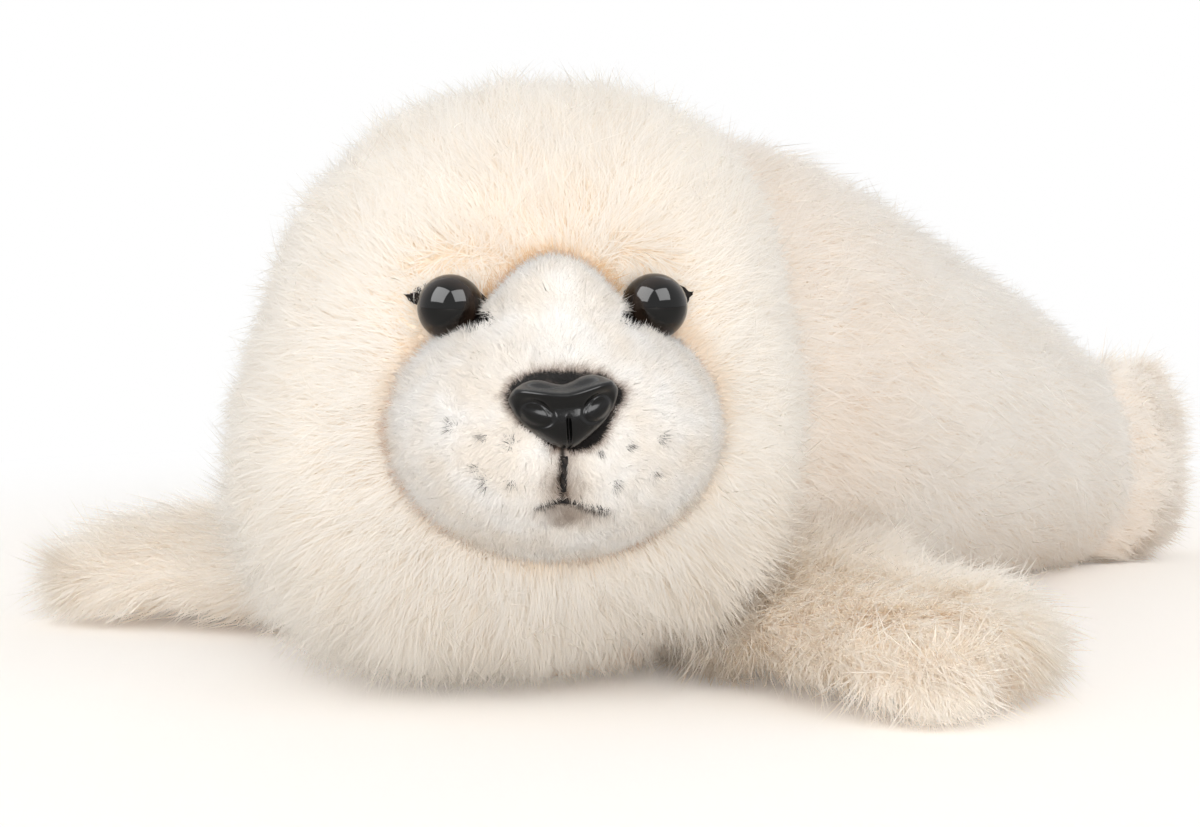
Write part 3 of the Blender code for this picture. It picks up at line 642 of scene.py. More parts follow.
# %% Combing fields: nap, length, lift, tint and which roots to keep
def comb_head(point, normal):
    """Away from the face all round, a little down; warm at the brow, the eyes and the seam."""
    own = moved(HEAD_FROM, point)
    away = point - moved(HEAD_AT, np.array([[0.0, -0.066, 0.004]]))
    nap = normalised(away) + np.array([0, 0, -0.10])
    nap = nap + normalised(way_from_eye(point)) * (1.2 * np.exp(-from_eyes(point) / 0.006))[:, None]
    # The brow's pile hangs over the tops of the eyes.
    over = eased(own[:, 2], 0.0300, 0.0330) * (1 - eased(from_eyes(point), 0.003, 0.009))
    nap = nap * (1 - over[:, None]) + over[:, None] * np.array([[0.25, -0.35, -0.85]])
    # A ruff of longer locks low on the cheeks hides where the flippers start, less on the seal's right.
    seam = beyond_seam(own)
    ruff = eased(np.abs(own[:, 0]), 0.014, 0.032) * np.exp(-(((own[:, 2] + 0.026) / 0.014) ** 2))
    ruff *= eased(seam, 0.002, 0.012)
    ruff *= 0.45 + 0.55 * eased(own[:, 0], -0.010, 0.010)
    length = head_pile(point) + 0.0105 * ruff
    nap = nap + ruff[:, None] * np.array([[0.0, 0.25, -0.55]])
    cheek = 1 - eased(own[:, 2], 0.016, 0.026)
    lift = 0.72 + (0.13 + 0.35 * cheek) * (1 - eased(seam, 0.002, 0.016)) + 0.12 * ruff
    # Rust paint lies along the seam, mostly on the arch over the eyes, with a breath of it on the brow.
    brow = np.exp(-((own[:, 0] / 0.020) ** 2) - ((own[:, 2] - 0.042) / 0.012) ** 2) * (own[:, 1] < 0)
    arch = eased(own[:, 2], 0.026, 0.030)
    tint = (0.26 + 0.74 * arch) * np.exp(-((np.maximum(seam + 0.001, 0) / 0.0020) ** 2)) + 0.10 * brow
    tint += 0.08 * np.exp(-np.maximum(from_eyes(point), 0) / 0.004)
    keep = (depth_in_muzzle(point) < 0.0012) & (from_eyes(point) > 0.0004) & ~on_felt(own)
    keep &= depth_in_body(point) < 0.010
    return nap, length, lift, np.clip(tint, 0, 1), keep


def comb_body(point, normal):
    """Back along the spine and down the flanks; warm at the shoulders, cool on the back; near the floor
    the tint is painted shade, warmer and darker.
    """
    nap = np.broadcast_to(np.array([0.0, 1.0, -0.28]), point.shape)
    length = body_pile(point)
    lift = np.full(len(point), 0.72)
    # The first term warms the shoulders; the second is painted shade, warmer and darker near the floor.
    tint = 0.10 * (1 - eased(point[:, 1], -0.06, 0.02)) + 0.10 * (1 - eased(point[:, 2], 0.0, 0.03))
    keep = (depth_in_head(point) < 0.009) & (normal[:, 2] > -0.86)
    return nap, length, lift, tint, keep


def comb_front(name):
    """Out along the flipper, from the body to its tip, and down over its edges."""
    out = np.array(FRONT_AT[name])[:3, 0]

    def comb(point, normal):
        own = moved(FRONT_AT[name].inverted(), point)
        nap = out + np.array([0, -0.42, -0.15]) + 0.60 * normal * [1, 1, 0]
        lift = 0.62 + 0.36 * (1 - eased(own[:, 0], 0.020, 0.045))
        # A faint even tint, and painted shade: warmer and darker near the floor.
        tint = 0.05 + 0.12 * (1 - eased(point[:, 2], 0.0, 0.012))
        keep = (depth_in_body(point) < 0.008) & (depth_in_head(point) < 0.008) & (normal[:, 2] > -0.80)
        return nap, front_pile(point), lift, tint, keep

    return comb


def comb_hind(name):
    """Out along the hind flipper, to its rounded end."""
    out = np.array(HIND_AT[name])[:3, 0]

    def comb(point, normal):
        nap = np.broadcast_to(out + np.array([0, 0, -0.12]), point.shape)
        # A faint even tint, and painted shade: warmer and darker near the floor.
        tint = 0.04 + 0.10 * (1 - eased(point[:, 2], 0.0, 0.02))
        keep = (depth_in_body(point) < 0.006) & (normal[:, 2] > -0.86)
        return nap, hind_pile(point), np.full(len(point), 0.60), tint, keep

    return comb


# %% [markdown]
# ## Finishes
# The fabric is polyester fur: a cream pile, airbrushed peach where it is worked short. Low on the body and
# the flippers the same warm tint is painted shade near the floor. Light goes through the fibres as well as
# off them, so a share of each blade is translucent. The root is darker and warmer than the tip: painted
# shade, because less light gets down there. A fibre is thin enough to look as bright from the side that the
# lamp doesn't reach, so a blade's far side shows the light that passes through it.


# %% Long plush pile, polyester, knitted and brushed: soft, matt, and light comes through it
def long_pile(name, root, body, tip, warm):
    """Colour runs up each blade from root to tip, turns warm by its tint, up to twice as much in patches of
    18 mm, and differs a little from blade to blade."""
    made, tree = new_material(name)
    field = add(tree, "Attribute", attribute_name="coat")
    height, own_shade, tint = add(tree, "SeparateXYZ", [("Vector", field.outputs["Vector"])]).outputs
    shade = add(tree, "ValToRGB", [("Fac", height)], [(0.0, root), (0.45, body), (1.0, tip)])
    coords = add(tree, "TexCoord")
    patches = add(tree, "TexNoise", [("Vector", coords.outputs["Object"])], Scale=55.0, Detail=3.0)
    blotch = add(tree, "MapRange", [("Value", patches.outputs["Fac"])], From_Min=0.35, From_Max=0.75)
    # The tint is airbrushed peach on the head, and painted shade low on the body and flippers.
    tone = add(tree, "Math", [(0, blotch.outputs[0]), (1, tint), (2, tint)], operation="MULTIPLY_ADD")
    warmed = [("Factor", tone.outputs[0]), (6, shade.outputs["Color"])]
    tinted = add(tree, "Mix", warmed, data_type="RGBA", blend_type="MULTIPLY")
    tinted.inputs[7].default_value = (*srgb(warm), 1.0)
    fibre = add(tree, "MapRange", [("Value", own_shade)], To_Min=0.93, To_Max=1.04)
    lit = add(tree, "HueSaturation", [("Color", tinted.outputs[2]), ("Value", fibre.outputs[0])])
    shell = add(tree, "BsdfPrincipled", [("Base Color", lit.outputs[0])], Roughness=0.62, IOR=1.4)
    through = add(tree, "BsdfTranslucent", [("Color", lit.outputs[0])])
    far_side = add(tree, "NewGeometry").outputs["Backfacing"]
    glow = add(tree, "MapRange", [("Value", far_side)], To_Min=0.12, To_Max=0.88)
    mix = add(tree, "MixShader", [(0, glow.outputs[0]), (1, shell.outputs[0]), (2, through.outputs[0])])
    add(tree, "OutputMaterial", [("Surface", mix.outputs[0])])
    return made


HEAD_FUR = long_pile("cream_long_pile", "#F2E1C9", "#FAF3E9", "#FCF9F4", "#E9CBA2")
BODY_FUR = long_pile("cream_long_pile_back", "#F2E1CC", "#FAF4EC", "#FCF9F5", "#EBCFAE")


# %% The knitted backing under the pile: loops 1.2 mm apart, matt, in a deeper cream than the tips
def backing(name, deep, pale):
    """Clouds of 14 mm in the colour, and loops in the relief."""
    made, tree = new_material(name)
    coords = add(tree, "TexCoord").outputs["Object"]
    loops = add(tree, "TexVoronoi", [("Vector", coords)], Scale=830.0)
    cloud = add(tree, "TexNoise", [("Vector", coords)], Scale=70.0, Detail=4.0)
    colour = add(tree, "ValToRGB", [("Fac", cloud.outputs["Fac"])], [(0.3, deep), (0.7, pale)])
    rise = add(tree, "Bump", [("Height", loops.outputs["Distance"])], Strength=0.4, Distance=0.0004)
    links = [("Base Color", colour.outputs["Color"]), ("Normal", rise.outputs[0])]
    shell = add(tree, "BsdfPrincipled", links, Roughness=0.9, IOR=1.4)
    add(tree, "OutputMaterial", [("Surface", shell.outputs[0])])
    return made


KNIT = backing("cream_knit_backing", "#F3DEC6", "#F9EAD8")

# %% Skins and coats of the long-pile forms
MANY = 1.0


def dress(node, piece, shape, pile, comb, fur, grid, fill, seed, fine, long):
    """One stuffed form: its skin stands for the CAD node, and a fine and a long coat ride on it. Each coat is
    (locks, hairs a lock, width, gather, reach)."""
    made = skin(node + "_skin", shape, pile, *grid)
    made.data.materials.append(KNIT)
    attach(made, "root")
    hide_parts(node)
    for kind, (locks, hairs, width, gather, reach) in (("fine", fine), ("long", long)):
        sown = (int(locks * MANY), hairs, width, seed, gather, reach, kind == "long")
        hair = coat(f"{piece}_pile_{kind}", shape, comb, *sown)
        hair.data.materials.append(fur)
        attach(hair, "root")
        seed += 1


HEAD_COATS = (6400, 38, 0.00031, 0.25, 0.88), (1900, 46, 0.00025, 0.40, 1.06)
BODY_COATS = (5600, 30, 0.00036, 0.25, 0.90), (1600, 46, 0.00027, 0.42, 1.06)
FRONT_COATS = (2000, 28, 0.00036, 0.45, 0.90), (700, 40, 0.00030, 0.65, 1.10)
HIND_COATS = (1100, 24, 0.00036, 0.40, 0.90), (380, 34, 0.00030, 0.55, 1.15)
dress("head", "head", head_shape, head_pile, comb_head, HEAD_FUR, (96, 64), 0.9, 11, *HEAD_COATS)
dress("body", "body", body_shape, body_pile, comb_body, BODY_FUR, (96, 72), 0.9, 21, *BODY_COATS)
for name, seed in (("left", 31), ("right", 41)):
    node, form, comb = f"{name}_front_flipper", FRONT_SHAPE[name], comb_front(name)
    dress(node, name + "_front", form, front_pile, comb, HEAD_FUR, (64, 40), 0.8, seed, *FRONT_COATS)
for name, seed in (("left", 51), ("right", 61)):
    node, form, comb = f"{name}_hind_flipper", HIND_SHAPE[name], comb_hind(name)
    dress(node, name + "_hind", form, hind_pile, comb, BODY_FUR, (48, 32), 0.7, seed, *HIND_COATS)

# %% [markdown]
# ## The face panel
# The muzzle is sewn from white plush with a clipped pile of a millimetre, then airbrushed: rust along its
# seam, black round the nose and the mouth, and a spot for each whisker. The paint is worked out as
# distances from each mark, kept on the mesh, and read by one material for both the skin and its fuzz. A
# painted picture would do as well, but distances stay sharp at any size and need no picture.

# %% Where the airbrush went, in the head's axes, millimetres across and up
WHISKER_SPOTS = np.array(
    [(-19.1, 6.8), (-13.7, 5.7), (-9.5, 4.3), (-14.9, -0.7), (-13.5, -2.8), (-9.1, -2.1)]
    + [(6.1, 3.0), (11.1, 3.8), (17.1, 4.9), (8.9, -2.9), (16.0, -1.1)]
)
LIP_LINE = np.array(((-4.2, -7.0), (-2.0, -6.4), (-0.4, -6.1), (2.1, -6.6), (4.7, -7.4), (7.6, -8.3)))


NOSE_HALF_WIDTH, NOSE_HALF_HEIGHT, NOSE_UP = 10.2, 6.4, 9.9  # millimetres; up is to the nose's middle


def nose_taper(rise):
    """The nose's width at each height, -1 at its tip and 1 at its top, as a share of the full width."""
    return 0.34 + 0.66 * np.clip((rise + 1) / 1.45, 0, 1) ** 0.8


def nose_outline():
    """The nose's rim, in the head's axes, in millimetres across and up: a broad oval drawn in to a tip."""
    turn = np.linspace(0, 2 * math.pi, 120, endpoint=False)
    rise = np.sign(np.sin(turn)) * np.abs(np.sin(turn)) ** 0.8
    across = NOSE_HALF_WIDTH * np.sign(np.cos(turn)) * np.abs(np.cos(turn)) ** 0.85 * nose_taper(rise)
    return np.stack([across, NOSE_UP + NOSE_HALF_HEIGHT * rise], axis=1)


def painted(points):
    """(nose, line, spot) distances in millimetres for points in world space.

    nose is measured outward from an oval round the nose, line from the groove and the lips, spot from the
    nearest whisker spot."""
    own = moved(HEAD_FROM, points) * 1000
    across, up = own[:, 0], own[:, 2]
    nose = np.full(len(points), 99.0)
    for x, z in nose_outline():
        nose = np.minimum(nose, np.hypot(across - x, up - z))
    nose -= 0.5 * np.exp(-(((across - 10.5) / 4) ** 2) - ((up - 14.0) / 4) ** 2)
    nose -= 1.1 * np.exp(-(((across - 6.0) / 4) ** 2) - ((up - 3.5) / 4) ** 2)
    nose += 0.7 * np.exp(-(((across + 6.0) / 4) ** 2) - ((up - 4.0) / 4) ** 2)
    rise = np.clip((up - NOSE_UP) / NOSE_HALF_HEIGHT, -1, 1)
    half = NOSE_HALF_WIDTH * np.sqrt(1 - np.abs(rise) ** 2.5) ** 0.85
    half *= nose_taper(rise)
    nose = np.where(np.abs(across) < half, 0.0, nose)
    line = np.hypot(across + 0.4, up - np.clip(up, -6.1, 4.0))
    for start, end in zip(LIP_LINE[:-1], LIP_LINE[1:], strict=True):
        chord = end - start
        rel = np.stack([across, up], axis=1) - start
        t = np.clip(rel @ chord / (chord @ chord), 0, 1)
        line = np.minimum(line, np.linalg.norm(rel - t[:, None] * chord, axis=1))
    spots = np.stack([across, up], axis=1)[:, None, :] - WHISKER_SPOTS[None]
    spot = np.linalg.norm(spots * [0.85, 1.15], axis=2).min(axis=1)
    return np.stack([nose, line, spot], axis=1)


def paint(made, points, shade, copies=1):
    """Keeps the airbrush's distances, the height above the head's surface (in mm) and each fibre's shade on
    the mesh, copies times for each point."""
    own = moved(HEAD_FROM, points)
    height = -depth_in_head(points) * 1000 + 1.2 * (1 - eased(own[:, 2], 0.022, 0.029))
    below = np.hypot((own[:, 0] - 0.0008) / 0.0046, (own[:, 2] + 0.0084) / 0.0017)
    smear = np.hypot((own[:, 0] + 0.0002) / 0.0034, (own[:, 2] + 0.0036) / 0.0056)
    marks = made.data.attributes.new("marks", "FLOAT_VECTOR", "POINT")
    marks.data.foreach_set("vector", np.repeat(painted(points), copies, axis=0).astype(np.float32).ravel())
    values = {"seam": height, "chin": np.minimum(below, smear), "shade": shade}
    for name, value in values.items():
        kept = made.data.attributes.new(name, "FLOAT", "POINT")
        kept.data.foreach_set("value", np.repeat(value, copies).astype(np.float32))


# %% Short plush pile, airbrushed: white and velvety, the paint has soft uneven edges
def short_pile(name, glow_share):
    """White with creamy clouds of 9 mm, then one layer of paint after another. Each layer is (distance,
    how far its edge wanders with the 2 mm clumps of pile, colour, (full inside, share), fades out at)."""
    made, tree = new_material(name)
    field = add(tree, "Attribute", attribute_name="marks")
    nose, line, spot = add(tree, "SeparateXYZ", [("Vector", field.outputs["Vector"])]).outputs
    seam = add(tree, "Attribute", attribute_name="seam").outputs["Fac"]
    chin = add(tree, "Attribute", attribute_name="chin").outputs["Fac"]
    coords = add(tree, "TexCoord").outputs["Object"]
    fine = add(tree, "TexNoise", [("Vector", coords)], Scale=420.0, Detail=3.0).outputs["Fac"]
    broad = add(tree, "TexNoise", [("Vector", coords)], Scale=110.0, Detail=2.0).outputs["Fac"]
    colour = add(tree, "ValToRGB", [("Fac", broad)], [(0.35, "#FBF4EB"), (0.65, "#FFFCF8")]).outputs["Color"]
    layers = (
        (seam, 1.2, "#D9A67A", (0.0, 0.60), 1.5),
        (chin, 0.7, "#96806E", (0.1, 0.72), 1.5),
        (nose, 1.8, "#7E6048", (0.0, 0.75), 2.0),
        (nose, 1.0, "#14100E", (0.0, 1.00), 0.6),
        (line, 1.2, "#7A6454", (0.0, 0.50), 1.9),
        (line, 0.5, "#15110F", (0.1, 0.92), 0.85),
        (spot, 0.65, "#2C1E16", (0.2, 0.95), 0.75),
    )
    for socket, ragged, code, (near, most), far in layers:
        wander = add(tree, "Math", [(0, fine), (2, socket)], operation="MULTIPLY_ADD")
        wander.inputs[1].default_value = ragged
        span = {"From_Min": near + ragged / 2, "From_Max": far + ragged / 2, "To_Min": most, "To_Max": 0.0}
        reach = add(tree, "MapRange", [("Value", wander.outputs[0])], interpolation_type="SMOOTHSTEP", **span)
        layer = add(tree, "Mix", [("Factor", reach.outputs[0]), (6, colour)], data_type="RGBA")
        layer.inputs[7].default_value = (*srgb(code), 1.0)
        colour = layer.outputs[2]
    shade = add(tree, "Attribute", attribute_name="shade").outputs["Fac"]
    fibre = add(tree, "MapRange", [("Value", shade)], To_Min=0.93, To_Max=1.03)
    lit = add(tree, "HueSaturation", [("Color", colour), ("Value", fibre.outputs[0])]).outputs[0]
    rise = add(tree, "Bump", [("Height", fine)], Strength=0.5, Distance=0.0004).outputs[0]
    shell = add(tree, "BsdfPrincipled", [("Base Color", lit), ("Normal", rise)], Roughness=0.85, IOR=1.4)
    through = add(tree, "BsdfTranslucent", [("Color", lit)])
    glow = add(tree, "Math", [(0, add(tree, "NewGeometry").outputs["Backfacing"])], operation="MULTIPLY")
    glow.inputs[1].default_value = glow_share
    mix = add(tree, "MixShader", [(0, glow.outputs[0]), (1, shell.outputs[0]), (2, through.outputs[0])])
    add(tree, "OutputMaterial", [("Surface", mix.outputs[0])])
    return made


# %% The panel's skin and its millimetre of fuzz
MUZZLE_PILE = 0.0014


def corners_of(made):
    """Where a mesh's corners are, as an array."""
    places = np.empty(len(made.data.vertices) * 3)
    made.data.vertices.foreach_get("co", places)
    return places.reshape(-1, 3)


muzzle = skin("muzzle_skin", muzzle_shape, lambda points: np.full(len(points), MUZZLE_PILE), 200, 120)
places = corners_of(muzzle)
paint(muzzle, places, np.full(len(places), 0.5))
muzzle.data.materials.append(short_pile("white_short_pile_skin", 0.0))
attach(muzzle, "root")
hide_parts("muzzle")


def fuzz(name, count, length, width, seed):
    """Single-triangle blades of clipped pile on the face panel: a little longer at its seam, and everywhere
    leaning away from the nose."""
    rng = np.random.default_rng(seed)
    point, normal, area = surface(muzzle_shape, directions(count))
    depth = depth_in_head(point)
    keep = (depth < 0.0025) & (area > np.percentile(area, 92) * rng.random(count))
    keep &= (np.linalg.norm(point - np.array(NOSE_PLACE), axis=1) > 0.0060) & (from_eyes(point) > 0.0004)
    keep &= ~on_felt(moved(HEAD_FROM, point))
    marks = painted(point)
    keep &= marks[:, 1] > 0.35 * rng.random(count)
    point, normal, depth, marks = point[keep], normal[keep], depth[keep], marks[keep]
    root = point - normal * (INSET * MUZZLE_PILE)
    own = moved(HEAD_FROM, point) * 1000
    back = 1.9 * np.exp(-(((own[:, 0] + 6.5) / 3.5) ** 2) - ((own[:, 2] - 4.5) / 3.5) ** 2)
    nap = (1 - back[:, None]) * normalised(point - np.array(NOSE_PLACE)) + rng.normal(0, 0.55, point.shape)
    nap += 0.7 * waves(point, 0.006, seed) + np.array([0, 0, -0.1])
    flow = normalised(along_surface(nap, normal))
    lift = np.clip(rng.normal(0.62, 0.20, len(point)), 0.20, 1.3)[:, None]
    rim = np.exp(-np.maximum(-depth, 0) / 0.0035) - 0.55 * (1 - eased(marks[:, 0], 0.5, 3.0))
    rim -= 0.5 * (1 - eased(marks[:, 1], 0.4, 1.6))
    long = length * (1 + 0.9 * rim[:, None]) * rng.uniform(0.65, 1.25, (len(point), 1))
    axis = flow * np.cos(lift) + normal * np.sin(lift)
    tip = root + long * axis
    side = normalised(np.cross(axis, normal) + rng.normal(0, 0.3, point.shape)) * width / 2
    corners = np.stack([root - side, root + side, tip], axis=1)
    faced = normalised(0.9 * normal + 0.2 * rng.normal(0, 1, point.shape))
    made = blades(name, corners, [(0, 1, 2)], np.repeat(faced, 3, axis=0))
    paint(made, point, rng.random(len(point)), 3)
    print(name, "fuzz:", len(point), "blades")
    return made


clipped = fuzz("muzzle_pile", int(320000 * MANY), 0.0023, 0.00023, 71)
clipped.data.materials.append(short_pile("white_short_pile", 0.9))
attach(clipped, "root")


# %% The felt's own nap, which shows as the dark corners of the eyes
def felt_nap(count, seed):
    """Short black blades over the felt corners, on whichever of the head and the face panel is outermost."""
    rng = np.random.default_rng(seed)
    found = []
    for shape, hidden in ((head_shape, depth_in_muzzle), (muzzle_shape, depth_in_head)):
        point, normal, _ = surface(shape, directions(count))
        keep = on_felt(moved(HEAD_FROM, point)) & (hidden(point) < 0.0006) & (from_eyes(point) > -0.001)
        found.append((point[keep], normal[keep]))
    point, normal = (np.concatenate(pair) for pair in zip(*found, strict=True))
    flow = normalised(along_surface(way_from_eye(point) + rng.normal(0, 0.003, point.shape), normal))
    axis = normalised(0.80 * flow + 0.60 * normal)
    side = normalised(np.cross(axis, normal)) * 0.00026
    long = rng.uniform(0.0006, 0.0011, (len(point), 1))
    root = point - normal * 0.0002
    corners = np.stack([root - side, root + side, root + long * axis], axis=1)
    return blades("eye_felt_nap", corners, [(0, 1, 2)], np.repeat(normal, 3, axis=0))


corners_nap = felt_nap(int(420000 * MANY), 81)
print("felt nap:", len(corners_nap.data.polygons), "blades")

# %% [markdown]
# ## Eyes and nose
# Both are moulded plastic. An eye is most of a ball with a ribbed stem, black with a dark brown ring under
# a clear dome. The nose is a soft triangle with a dip in its upper edge, two oval nostrils and a slit. Their
# CAD solids have the same shape in coarse facets, which would break the highlights, so they are turned and
# bent again here from fine grids.


# %% Turned pieces
def turned(name, profile, matrix, cols=72):
    """A piece turned about its own Z from a profile of (radius, height) that starts and ends on the axis."""
    profile = np.array(profile)
    turn = np.arange(cols) * 2 * math.pi / cols
    radius, height = profile[1:-1, 0][:, None], profile[1:-1, 1][:, None]
    rings = np.stack(
        [radius * np.cos(turn), radius * np.sin(turn), np.broadcast_to(height, (len(profile) - 2, cols))],
        axis=2,
    )
    ends = moved(matrix, np.array([[0, 0, profile[0, 1]], [0, 0, profile[-1, 1]]]))
    rings = moved(matrix, rings.reshape(-1, 3)).reshape(rings.shape)
    return closed_surface(name, rings, ends[0], ends[1])


def eye_profile():
    """The dome from its top round to the flat back, then the ribbed stem."""
    back, shank, length = 0.0026, 0.0019, 0.0150
    ribs, pitch, proud = 4, 0.0028, 0.0003
    edge = math.acos(-back / EYE_RADIUS)
    dome = [(EYE_RADIUS * math.sin(a), EYE_RADIUS * math.cos(a)) for a in np.linspace(0, edge, 30)]
    lip = [(EYE_RADIUS * math.sin(edge) - 0.0004, -back - 0.00015), (shank + 0.0004, -back - 0.00015)]
    stem = [(shank, -back - 0.0006)]
    for rib in range(ribs):
        foot = -back - 0.0020 - rib * pitch
        stem += [(shank, foot), (shank + proud, foot - 0.35 * pitch), (shank, foot - 0.70 * pitch)]
    return dome + lip + stem + [(shank * 0.6, -back - length), (0.0, -back - length)]


# %% Moulded eye: clear acrylic dome over black with a dark brown ring, worn dull in spots of a millimetre
def eye_plastic():
    """Colour runs from the eye's middle to its edge by the ring attribute."""
    made, tree = new_material("clear_domed_eye")
    ring = add(tree, "Attribute", attribute_name="ring").outputs["Fac"]
    rings = [(0.0, "#030303"), (0.55, "#040404"), (0.68, "#1C140F"), (0.86, "#2A1F18"), (0.97, "#0C0A09")]
    iris = add(tree, "ValToRGB", [("Fac", ring)], rings).outputs["Color"]
    coords = add(tree, "TexCoord")
    wear = add(tree, "TexNoise", [("Vector", coords.outputs["Object"])], Scale=900.0, Detail=3.0)
    rough = add(tree, "MapRange", [("Value", wear.outputs["Fac"])], To_Min=0.03, To_Max=0.09)
    shell = add(tree, "BsdfPrincipled", [("Base Color", iris), ("Roughness", rough.outputs[0])], IOR=1.40)
    add(tree, "OutputMaterial", [("Surface", shell.outputs[0])])
    return made


EYE_FINISH = eye_plastic()
for (name, place), side in zip(EYE_PLACES.items(), (1, -1), strict=True):
    look = Euler((math.pi / 2 - math.radians(6), 0, side * math.radians(17))).to_matrix().to_4x4()
    eye_at = Matrix.Translation(place) @ Matrix.Rotation(HEAD_TURN, 4, "Z") @ look
    eye = turned(f"{name}_eye_dome", eye_profile(), eye_at)
    own = moved(eye_at.inverted(), corners_of(eye))
    share = np.where(own[:, 2] > -0.001, np.hypot(own[:, 0], own[:, 1]) / EYE_RADIUS, 1.0)
    ring = eye.data.attributes.new("ring", "FLOAT", "POINT")
    ring.data.foreach_set("value", share.astype(np.float32))
    eye.data.materials.append(EYE_FINISH)
    print(eye.name, len(eye.data.polygons), "faces")
    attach(eye, "root")
    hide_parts(f"{name}_eye")

# %% The nose
NOSE_AT = (
    Matrix.Translation(NOSE_PLACE)
    @ Matrix.Rotation(HEAD_TURN, 4, "Z")
    @ Matrix.Rotation(math.radians(-14), 4, "X")
    @ Matrix.Rotation(math.radians(-5), 4, "Y")
)
NOSE_HALF_DEPTH = 0.0052
NOSTRIL_ACROSS, NOSTRIL_HALF, NOSTRIL_LEAN = 0.0054, (0.0030, 0.0018), math.radians(36)
GROOVE_DEPTH, PIT_DEPTH, SLIT_DEPTH, RIDGE_HEIGHT = 0.00050, 0.00015, 0.0014, 0.00125


def nose_points(unit):
    """A broad oval that narrows downward, dips at the middle of its top, and is engraved on its front."""
    across, out, up = unit[:, 0], -unit[:, 2], unit[:, 1]
    flat = np.sign(across) * np.abs(across) ** 0.85
    rise = np.sign(up) * np.abs(up) ** 0.8
    x = 0.0102 * flat * nose_taper(rise)
    z = 0.0064 * rise
    z = z - 0.0016 * np.clip(rise, 0, 1) * np.exp(-((x / 0.00357) ** 2))
    z = z + 0.00064 * np.clip(rise, 0, 1) * np.abs(flat)
    y = NOSE_HALF_DEPTH * out
    front = out < 0
    for side in (-1, 1):
        dx, dz = x - side * NOSTRIL_ACROSS, z + 0.0004
        lean = side * NOSTRIL_LEAN
        u = (dx * math.cos(lean) + dz * math.sin(lean)) / NOSTRIL_HALF[0]
        v = (-dx * math.sin(lean) + dz * math.cos(lean)) / NOSTRIL_HALF[1]
        oval = np.hypot(u, v)
        groove = np.exp(-(((oval - 1.0) / 0.18) ** 2))
        pit = 1 - eased(oval, 0.45, 0.95)
        y = y + front * (GROOVE_DEPTH * groove + PIT_DEPTH * pit)
    slit = np.clip(1 - np.abs(x) / 0.00050, 0, 1) * (1 - eased(z, -0.0032, -0.0012))
    y = y + front * SLIT_DEPTH * slit
    crest = 0.0018 + 0.0026 * (np.abs(x) / 0.0095) ** 1.6
    ridge = np.exp(-(((z - crest) / 0.0011) ** 2)) * (1 - eased(np.abs(x), 0.0082, 0.0100))
    hollow = np.exp(-(((z - crest + 0.0023) / 0.0010) ** 2)) * (1 - eased(np.abs(x), 0.0070, 0.0090))
    y = y - front * (RIDGE_HEIGHT * ridge - 0.00035 * hollow)
    return np.stack([x, y, z], axis=1)


unit = globe(160, 90).reshape(-1, 3)
poles = nose_points(np.array([[0.0, 1e-6, 1.0], [0.0, 1e-6, -1.0]]))
rings = moved(NOSE_AT, nose_points(unit)).reshape(90, 160, 3)
nose = closed_surface("nose_moulding", rings, *moved(NOSE_AT, poles))
print(nose.name, len(nose.data.polygons), "faces")


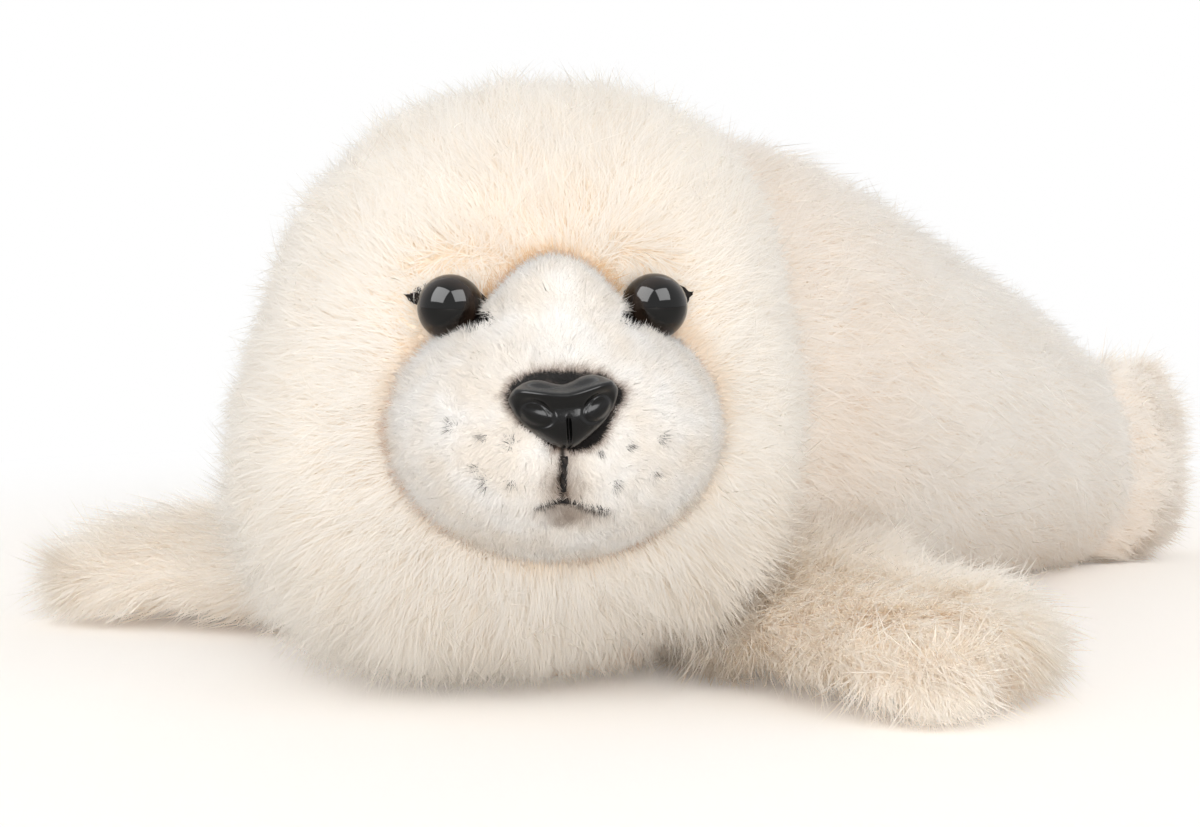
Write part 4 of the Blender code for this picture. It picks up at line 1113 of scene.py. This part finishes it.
# %% Finishes of one pattern
def plain_finish(name, kind, stops, shell, wear=None, relief=None, **pattern):
    """A pattern on Object coordinates that sets the colour, and the roughness (wear, from and to) or the
    relief (strength, metres). shell holds the shader's constants."""
    made, tree = new_material(name)
    coords = add(tree, "TexCoord").outputs["Object"]
    grain = add(tree, kind, [("Vector", coords)], **pattern).outputs["Fac"]
    links = [("Base Color", add(tree, "ValToRGB", [("Fac", grain)], stops).outputs["Color"])]
    if wear:
        rough = add(tree, "MapRange", [("Value", grain)], To_Min=wear[0], To_Max=wear[1])
        links.append(("Roughness", rough.outputs[0]))
    if relief:
        rise = add(tree, "Bump", [("Height", grain)], Strength=relief[0], Distance=relief[1])
        links.append(("Normal", rise.outputs[0]))
    shader = add(tree, "BsdfPrincipled", links, **shell)
    add(tree, "OutputMaterial", [("Surface", shader.outputs[0])])
    return made


# %% Moulded nose: black ABS with a polished skin and a faint grain of 0.7 mm
black, polish = [(0.3, "#060606"), (0.7, "#0D0C0C")], {"wear": (0.13, 0.22), "relief": (0.10, 0.0002)}
NOSE_FINISH = plain_finish(
    "polished_black_nose", "TexNoise", black, {"IOR": 1.36}, **polish, Scale=1400.0, Detail=4.0
)
nose.data.materials.append(NOSE_FINISH)
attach(nose, "root")
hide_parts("nose")

# %% [markdown]
# ## Felt, thread and washers
# The dark corners of the eyes are a felt almond behind each ball, and the mouth is a few stitches of black
# thread. Their CAD solids have the right shape, so they stay and only get their finish.


# %% Black wool felt: matt, faintly brown, the fibres tangled every half millimetre
black, dull = [(0.3, "#0E0B0A"), (0.75, "#2A211C")], {"Roughness": 0.95, "IOR": 1.35}
FELT = plain_finish(
    "black_wool_felt", "TexNoise", black, dull, relief=(0.8, 0.0003), Scale=2200.0, Detail=6.0
)

# %% Black cotton thread: two plies laid round each other, drawn 1 to 2 mm apart so that they show
black, waxed = [(0.2, "#0B0909"), (0.8, "#2B2522")], {"Roughness": 0.75, "IOR": 1.45}
plies = {"Scale": 300.0, "Distortion": 1.5, "bands_direction": "DIAGONAL"}
COTTON = plain_finish("black_cotton_thread", "TexWave", black, waxed, relief=(0.6, 0.0002), **plies)

# %% White nylon lock washers, injection moulded: milky in clouds of 2 mm, satin
milky = [(0.3, "#E9E7DF"), (0.7, "#F2F1EA")]
NYLON = plain_finish(
    "white_nylon_washer", "TexNoise", milky, {"IOR": 1.5}, wear=(0.35, 0.5), Scale=500.0, Detail=3.0
)

# %% Each finish on its pieces
corners_nap.data.materials.append(FELT)
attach(corners_nap, "root")
for finish, nodes in (
    (FELT, ("left_eye_felt", "right_eye_felt")),
    (COTTON, ("philtrum_stitch", "mouth_stitch")),
    (NYLON, ("left_eye_washer", "right_eye_washer", "nose_washer")),
):
    for node in nodes:
        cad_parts[node].material_slots[0].material = finish
    print(finish.name, "on", ", ".join(nodes))
